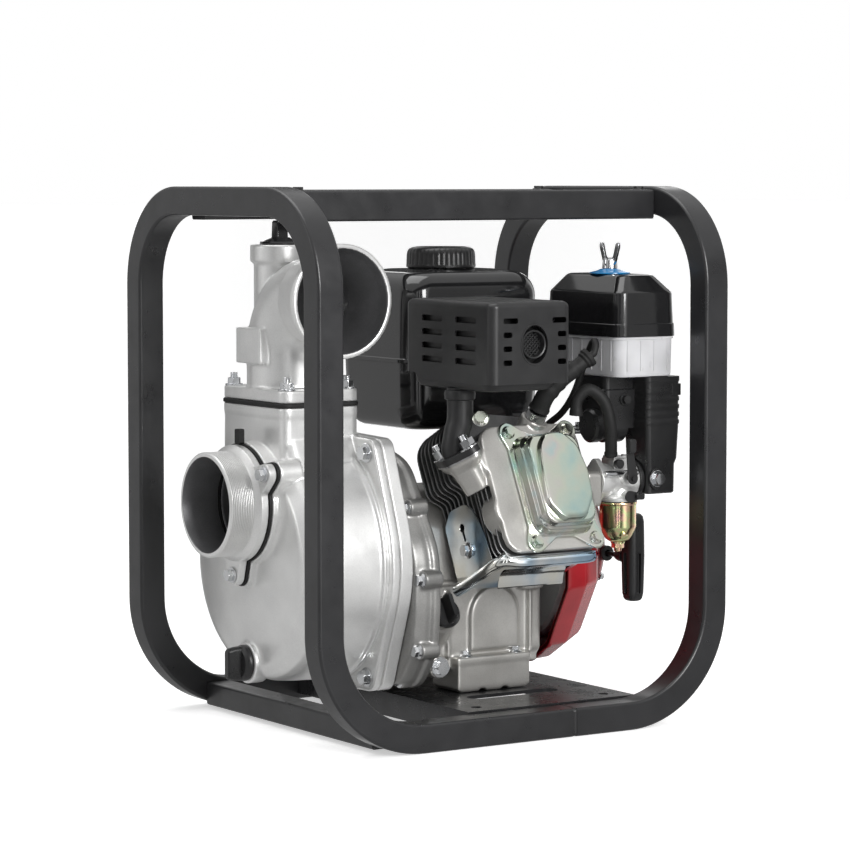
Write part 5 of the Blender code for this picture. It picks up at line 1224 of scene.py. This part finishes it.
def carburettor():
    x, y, z = 0.098, 0.133, 0.205
    rim = (x, y, 0.1865)
    body = turned("carb_body", mm((0, 111), (15, 111), (15.2, 118), (13.5, 121), (13, 129), (14.8, 133), (15.8, 138),
            (16, 144), (0, 144)), ALUMINIUM, (x, 0, z), Y_AXIS, 64)
    parts = [bevelled(prism("m", lobed(0.015, [(0, 0.014, 0.0052), (0, -0.014, 0.0052)], 64), low, high, ALUMINIUM,
            Matrix.Translation((x, 0, z)) @ ACROSS_Y), 0.0005, 2) for low, high in ((0.1073, 0.1125), (0.142,
            0.1456))]
    seat = turned("seat", mm((0, 186.8), (12.8, 186.8), (16, 187), (16.4, 187.8), (16.4, 190), (15.6, 191.2), (13,
            192.5), (11.8, 199), (10, 205), (0, 205)), ALUMINIUM, (x, y, 0), Z_AXIS, 64)
    top = bevelled(block("top", (x - 0.0095, 0.122, 0.214), (x + 0.0095, 0.1385, 0.224), ALUMINIUM), 0.0012, 3)
    cap = bevelled(block("cap", (x - 0.0088, 0.123, 0.224), (x + 0.0088, 0.1375, 0.2258), ALUMINIUM), 0.0005, 2)
    boss = turned("boss", mm((0, 108), (5.2, 108), (5.5, 108.5), (5.5, 115.8), (4.8, 116.6), (0, 116.6)), ALUMINIUM,
            (0, 0.13, 0.208), X_AXIS, 40)
    ridge = turned("ridge", mm((0, 100), (4.2, 100), (4.2, 115.8), (3.7, 116.3), (0, 116.3)), ALUMINIUM, (0, 0.1315,
            0.192), X_AXIS, 32)
    gather(body, *parts, seat, top, cap, boss, ridge)
    fixed(body, "cast_aluminium", "carburettor")
    tube = turned("balance_tube", mm((0, 108), (2.4, 108), (2.6, 108.4), (2.6, 141.5), (2.4, 141.9), (0, 141.9)),
            CHROME, (0.1135, 0, 0.212), Y_AXIS, 32)
    fixed(tube, "bright_zinc")
    screw = turned("idle_screw", mm((0, 115), (3, 115), (3.8, 115.6), (4, 116.8), (4, 120.5), (3.4, 121.2), (0,
            121.3)), BLACK_PLASTIC, (0, 0.119, 0.2205), X_AXIS, 32)
    fixed(screw, "satin_black")
    for index, (dy, dx) in enumerate(((0.1265, -0.006), (0.1345, 0.006))):
        bolt(f"carb_screw_{index + 1}", (x + dx, dy, 0.2256), Z_AXIS, 0.0022, 0.0016, 0, mat=STEEL,
                slot="machined_steel")
    bowl = turned("bowl", mm((14, 0), (16.2, 0), (16.5, -0.6), (16.5, -1.8), (15.8, -2.6), (15.8, -21), (15.4, -23),
            (12.5, -29), (10.5, -32.2), (8, -33.8), (6.2, -34.6), (6, -36), (0, -36), (0, -33), (7, -32), (10, -29),
            (14, -21.5)), GOLD, rim, Z_AXIS, 72)
    at = Matrix.Translation(rim)
    gather(bowl, hexagon(0.0056, at, -0.04, -0.036, GOLD), turned("tip", mm((0, -43), (2.8, -43), (3.4, -42.4), (3.4,
            -39.5), (0, -39.5)), GOLD, rim, Z_AXIS, 32), turned("drain", mm((0, 0), (3, 0), (3.4, 0.8), (3.4, 3),
            (2.6, 4), (0, 4.2)), GOLD, (x + 0.011, y - 0.003, 0.1865 - 0.027), Vector((0.8, -0.25, -0.45)), 24))
    fixed(bowl, "bowl_gold", "float_bowl")
    seal = turned("bowl_seal", mm((14, -0.2), (16.3, -0.2), (16.3, 0.6), (14, 0.6)), RUBBER, rim, Z_AXIS, 64)
    fixed(seal)

    at = Matrix.Translation((0, 0.13, 0.208)) @ ACROSS_X
    arm = prism("choke", hull(circle(0.005, 32) + circle(0.0032, 24, -0.004, 0.028)), 0.1226, 0.1241, SATIN, at)
    knob = lofted("knob", boxes(mm((123.6, 3.4, 5.8, 2), (124.2, 3.8, 6.2, 2.4), (128.8, 3.6, 6, 2.4), (129.6, 2.8,
            5.2, 1.8)), 5, at=(-0.004, 0.028)), BLACK_PLASTIC, at)
    pin = prism("pin", circle(0.0022, 24), 0.117, 0.1262, SATIN, at)
    piece(gather(bevelled(arm, 0.0003, 2), knob, pin), "choke_lever", "satin_black", "choke_lever")
    at = Matrix.Translation((0, 0.1315, 0.192)) @ ACROSS_X
    lever = bevelled(prism("fuel_tap", hull(circle(0.005, 32) + circle(0.003, 24, 0.0085, 0)), 0.1166, 0.1183,
            BLACK_PLASTIC, at), 0.0004, 2)
    tip = lofted("tip", boxes(mm((117.5, 4.2, 2.6, 2), (121, 4.2, 2.8, 2), (121.5, 3.6, 2.2, 1.6)), 5, at=(0.0088,
            0)), BLACK_PLASTIC, at)
    piece(gather(lever, tip), "fuel_valve_lever", "satin_black", "fuel_valve_lever")


def controls():
    plate = prism("governor_plate", rounded_box(0.026, 0.018, 0.005, 6, 0.054, 0.13), 0.244, 0.2458, CHROME, FLAT)
    holes = (rounded_box(0.007, 0.0018, 0.0016, 5, 0.07, 0.14), circle(0.0022, 20, 0.072, 0.12))
    cut(plate, *[prism("hole", hole, 0.23, 0.26, CHROME, FLAT) for hole in holes])
    tab = block("tab", (0.03, 0.125, 0.241), (0.048, 0.145, 0.2445), CHROME)
    gather(bevelled(plate, 0.0004, 2), bevelled(tab, 0.0005, 2))
    fixed(plate, "bright_zinc", "control_plate")
    at = Matrix.Translation((0.052, 0.126, 0.248))
    arm = bevelled(prism("throttle", hull(circle(0.0085, 40) + circle(0.0042, 32, 0.004, 0.04)), -0.0019, 0.0001,
            CHROME, at), 0.0004, 2)
    knob = lofted("knob", boxes(mm((-4, 5.4, 6.8, 3), (-3, 6, 7.5, 3), (4, 6, 7.5, 3), (5, 5.4, 6.8, 3)), 5,
            at=(0.004, 0.041)), CHROME, at)
    gather(arm, knob, hexagon(0.0045, at, 0.0001, 0.0036, CHROME))
    piece(arm, "throttle_lever", "bright_zinc", "throttle_lever")
    origin = Vector((-0.073, 0.1463, 0.1905))
    handled("engine_switch", "stop_switch", origin, Y_AXIS, mm((0, 0), (6.5, 0), (6.5, 3.6), (5.8, 5.8), (0, 6)),
            boxes(mm((5, 1.9, 5.8, 1.5), (11.2, 1.7, 5.5, 1.4), (12, 1.2, 4.8, 1)), 4), steps=48)


# ---------------------------------------------------------------- starter side


ROPE = (0, 0.16, 0.135)


def starter():
    corners = mm((86, -26), (60, -73), (38, -86), (-38, -86), (-64, -70), (-86, -30), (-86, 34), (-62, 72), (-36, 83),
            (36, 80), (74, 58), (86, 34))
    big = hull([point for x, z in corners for point in circle(0.012, 64, x, z)])
    levels = [(0.098, 1.0), (0.117, 0.988), (0.1185, 0.984), (0.12, 0.978), (0.135, 0.905), (0.1365, 0.896), (0.138,
            0.884), (0.144, 0.822), (0.1454, 0.808), (0.146, 0.795)]
    shell = lofted("cowl", tapered(big, levels), RED, ON_CRANK, 40)
    lip = lofted("lip", tapered(big, [(0.098, 1.0), (0.0984, 1.012), (0.101, 1.012), (0.1016, 0.998)]), RED, ON_CRANK)
    hollow = lofted("hollow", tapered(big, [(0.09, 0.968), (0.117, 0.958), (0.134, 0.88), (0.1428, 0.765)]), RED,
            ON_CRANK)
    cut(shell, hollow, prism("eye", circle(0.052, 96), 0.13, 0.16, RED, ON_CRANK))
    lip_hole = prism("h", scaled(big, 0.97), 0.09, 0.11, RED, ON_CRANK)
    cut(lip, lip_hole)
    gather(shell, lip)
    fixed(bevelled(shell, 0.0006, 3, 38), "housing_red", "fan_housing")
    cover = turned("recoil_bell", mm((0, 147), (5.2, 147), (5.2, 169), (54, 168), (58.5, 150), (58.5, 146.3), (63,
            146.3), (62.8, 149), (62, 156), (60.4, 162.5), (57.5, 166.8), (53.5, 169.5), (48, 170.8), (30, 171.5),
            (20, 172), (0, 172)), RED, CRANK, Y_AXIS, 128)
    vents = 14
    slots = [prism("vent", rounded_box(0.0085, 0.0018, 0.0017, 5, 0.0395, 0), 0.16, 0.18, RED, ON_CRANK
            @ Matrix.Rotation(2 * pi * k / vents, 4, "Z")) for k in range(vents)]
    guide = turned("guide", mm((0, 30), (7.5, 30), (6.5, 44), (6.8, 46.2), (6, 47), (0, 47)), RED, ROPE, X_AXIS, 48)
    gather(slots[0], *slots[1:])
    hole = prism("rope_hole", circle(0.0032, 24, 0.16, 0.135), 0.02, 0.06, RED, ACROSS_X)
    cut(cover, prism("pocket", circle(0.0076, 32, 0.16, 0.135), 0.02, 0.06, RED, ACROSS_X), slots[0])
    cut(guide, hole)
    guide.data.materials[0] = BLACK_PLASTIC
    fixed(guide, "housing_red")
    fixed(bevelled(cover, 0.0004, 2, 40), "housing_red", "recoil_cover")
    for k in range(3):
        a = radians(90 + 120 * k)
        seat = CRANK + Vector((0.0555 * cos(a), 0.169, 0.0555 * sin(a)))
        out = Vector((0.35 * cos(a), 1, 0.35 * sin(a))).normalized()
        bolt(f"bell_bolt_{k + 1}", seat - out * 0.0012, out, 0.003, 0.0026, 0, flanged=True)
    at = Matrix.Translation((0.081, 0.162, 0))
    grip = lofted("pull_grip", [(z, rounded_box(a, b, min(a, b) * 0.62, 6)) for z, a, b in ((0.097, 0.0046, 0.0042),
            (0.0976, 0.006, 0.0055), (0.0995, 0.0074, 0.0068), (0.104, 0.0083, 0.0077), (0.118, 0.0087, 0.0081),
            (0.135, 0.009, 0.0084), (0.152, 0.0088, 0.0082), (0.166, 0.0085, 0.0079), (0.1705, 0.0076, 0.007),
            (0.1724, 0.006, 0.0055), (0.173, 0.0046, 0.0042))], BLACK_PLASTIC, at)
    for middle, low, high, across in ((0.162, 0.0865, 0.096, ACROSS_X), (0.081, 0.148, 0.156, ACROSS_Y)):
        cut(grip, prism("slot", rounded_box(0.0022, 0.018, 0.002, 6, middle, 0.121), low, high, BLACK_PLASTIC,
                across))
    bevelled(grip, 0.0005, 3, 35)
    rope = turned("starter_rope", [(0, 0.03)] + [(0.0021, 0.03 + 0.0004 * k) for k in range(91)] + [(0, 0.0661)],
            SATIN, ROPE, X_AXIS, 24)
    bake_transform(rope)
    sleeve = turned("sleeve", mm((0, 60), (3.6, 60), (5, 64), (5.8, 72), (0, 74)), BLACK_PLASTIC, ROPE, X_AXIS, 40)
    piece(gather(grip, sleeve), "starter_grip", "satin_black", "starter_grip")


# ---------------------------------------------------------------- leads and hoses


BOOT = [PLUG_SEAT + PLUG_OUT * 0.0095, PLUG_SEAT + PLUG_OUT * 0.024, Vector((0.097, 0.073, 0.293)), Vector((0.103,
        0.087, 0.304)), Vector((0.106, 0.097, 0.312))]


def leads():
    path = smooth_path(BOOT, 8)
    widths = []
    for i in range(len(path)):
        t = i / (len(path) - 1)
        widths.append(1.0 - 0.1 * t + (0.1 if t < 0.06 else 0) + (0.07 if 0.3 < t < 0.36 or 0.42 < t < 0.48
                else 0) - (0.16 if 0.7 < t < 0.86 else 0) + (0.12 if t > 0.93 else 0))
    boot = swept("spark_boot", path, circle(0.0083, 40), RUBBER, widths=widths)
    cut(boot, prism("well", circle(0.0052, 24), -0.002, 0.0172, RUBBER, place(BOOT[0], PLUG_OUT)))
    fixed(boot, "rubber", "plug_boot")
    along = (path[-1] - path[-2]).normalized()
    route = [path[-1] + along * 0.0006, path[-1] + along * 0.005, (0.104, 0.1045, 0.323), (0.096, 0.1065, 0.322),
            (0.084, 0.1065, 0.303), (0.072, 0.106, 0.28), (0.056, 0.105, 0.262), (0.036, 0.104, 0.25), (0.018, 0.103,
            0.2385)]
    fixed(swept("plug_lead", smooth_path(route, 8), circle(0.003, 20), RUBBER), "rubber", "ignition_lead")
    route = mm((103, 85, 262), (104, 86, 276), (109, 94.5, 284), (114, 106, 274), (115, 112, 255), (111, 116, 236),
            (108, 118, 227.5))
    path = smooth_path(route, 8)
    widths = [1 + (0.1 if i < 3 or i > len(path) - 4 else 0) for i in range(len(path))]
    fixed(swept("breather", path, circle(0.0052, 28), RUBBER, widths=widths), "rubber", "breather_hose")


# ---------------------------------------------------------------- studio


def softbox(name, at, aim, size, energy, colour=(1, 1, 1)):
    lamp = bpy.data.lights.new(name, "AREA")
    lamp.shape = "RECTANGLE"
    lamp.size, lamp.size_y = size
    lamp.energy = energy
    lamp.color = colour
    obj = bpy.data.objects.new(name, lamp)
    obj.location = at
    obj.rotation_euler = (Vector(aim) - Vector(at)).to_track_quat("-Z", "Y").to_euler()
    bpy.context.scene.collection.objects.link(obj)
    return obj


def backdrop():
    """White behind everything; what the gloss mirrors is a studio with dark flags between bright panels."""
    world = bpy.data.worlds.new("studio")
    bpy.context.scene.world = world
    world.use_nodes = True
    graph = Graph(world.node_tree)
    nodes, links, ramp, mix = graph.nodes, graph.links, graph.ramp, graph.mix

    def along(direction):
        dot = nodes.new("ShaderNodeVectorMath")
        dot.operation = "DOT_PRODUCT"
        dot.inputs[1].default_value = direction
        links.new(where, dot.inputs[0])
        half = nodes.new("ShaderNodeMath")
        half.operation = "MULTIPLY_ADD"
        half.inputs[1].default_value = half.inputs[2].default_value = 0.5
        links.new(dot.outputs["Value"], half.inputs[0])
        return half.outputs["Value"]

    where = nodes.new("ShaderNodeTexCoord").outputs["Generated"]
    panels = ramp(along((0.544, 0.839, 0)), ((0.0, 0.5), (0.12, 0.55), (0.24, 0.4), (0.34, 0.1), (0.425, 0.06),
            (0.437, 2.2), (0.455, 2.2), (0.467, 0.06), (0.533, 0.06), (0.545, 2.2), (0.563, 2.2), (0.575, 0.06), (0.7,
            0.08), (0.8, 1.3), (0.86, 1.3), (0.92, 0.4), (1.0, 0.36)))
    height = along((0, 0, 1))
    above = mix(ramp(height, ((0.68, 0.0), (0.8, 1.0))), panels, 0.78)
    mirrored = mix(ramp(height, ((0.24, 1.0), (0.42, 0.0))), above, 0.42)
    light = nodes.new("ShaderNodeLightPath")
    seen = mix(light.outputs["Is Camera Ray"], 0.5, 1.0)
    links.new(mix(light.outputs["Is Glossy Ray"], seen, mirrored), nodes["Background"].inputs["Color"])


def floor_sheet():
    bm = bmesh.new()
    bm.faces.new([bm.verts.new(p) for p in ((-45, -45, 0), (45, -45, 0), (45, 45, 0), (-45, 45, 0))])
    sheet = made("floor", bm, None)
    f = Finish("floor_white", (0.93, 0.93, 0.93), 0.5, specular=0.25)
    f.rough(f.noise(3, 2), 0.42, 0.5)
    f.set("Emission Color", (1, 1, 1, 1))
    f.set("Emission Strength", 0.5)
    sheet.data.materials.append(f.material)
    sheet.visible_glossy = False


def studio():
    backdrop()
    floor_sheet()
    softbox("key", (2.75, -0.1, 1.25), (0, 0, 0.22), (0.9, 1.4), 62)
    softbox("fill", (-0.9, -2.7, 1.2), (0, 0, 0.22), (0.9, 1.4), 6)
    softbox("top", (-0.5, -0.3, 2.4), (0, 0, 0), (1.8, 1.8), 22)
    camera_data = bpy.data.cameras.new("camera")
    camera_data.lens = 138.7
    camera_data.sensor_width = 36
    camera_data.clip_end = 90
    camera = bpy.data.objects.new("camera", camera_data)
    camera.location = (2.346, -1.523, 0.4635)
    camera.rotation_euler = (Vector((0, 0, 0.251)) - camera.location).to_track_quat("-Z", "Y").to_euler()
    bpy.context.scene.collection.objects.link(camera)
    bpy.context.scene.camera = camera
    bpy.context.scene.view_settings.view_transform = "Standard"


studio()

roll_frame()
pump_body()
suction_side()
discharge_side()
crank_case()
cylinder()
shroud()
exhaust()
tank()
air_cleaner()
intake()
carburettor()
controls()
starter()
leads()
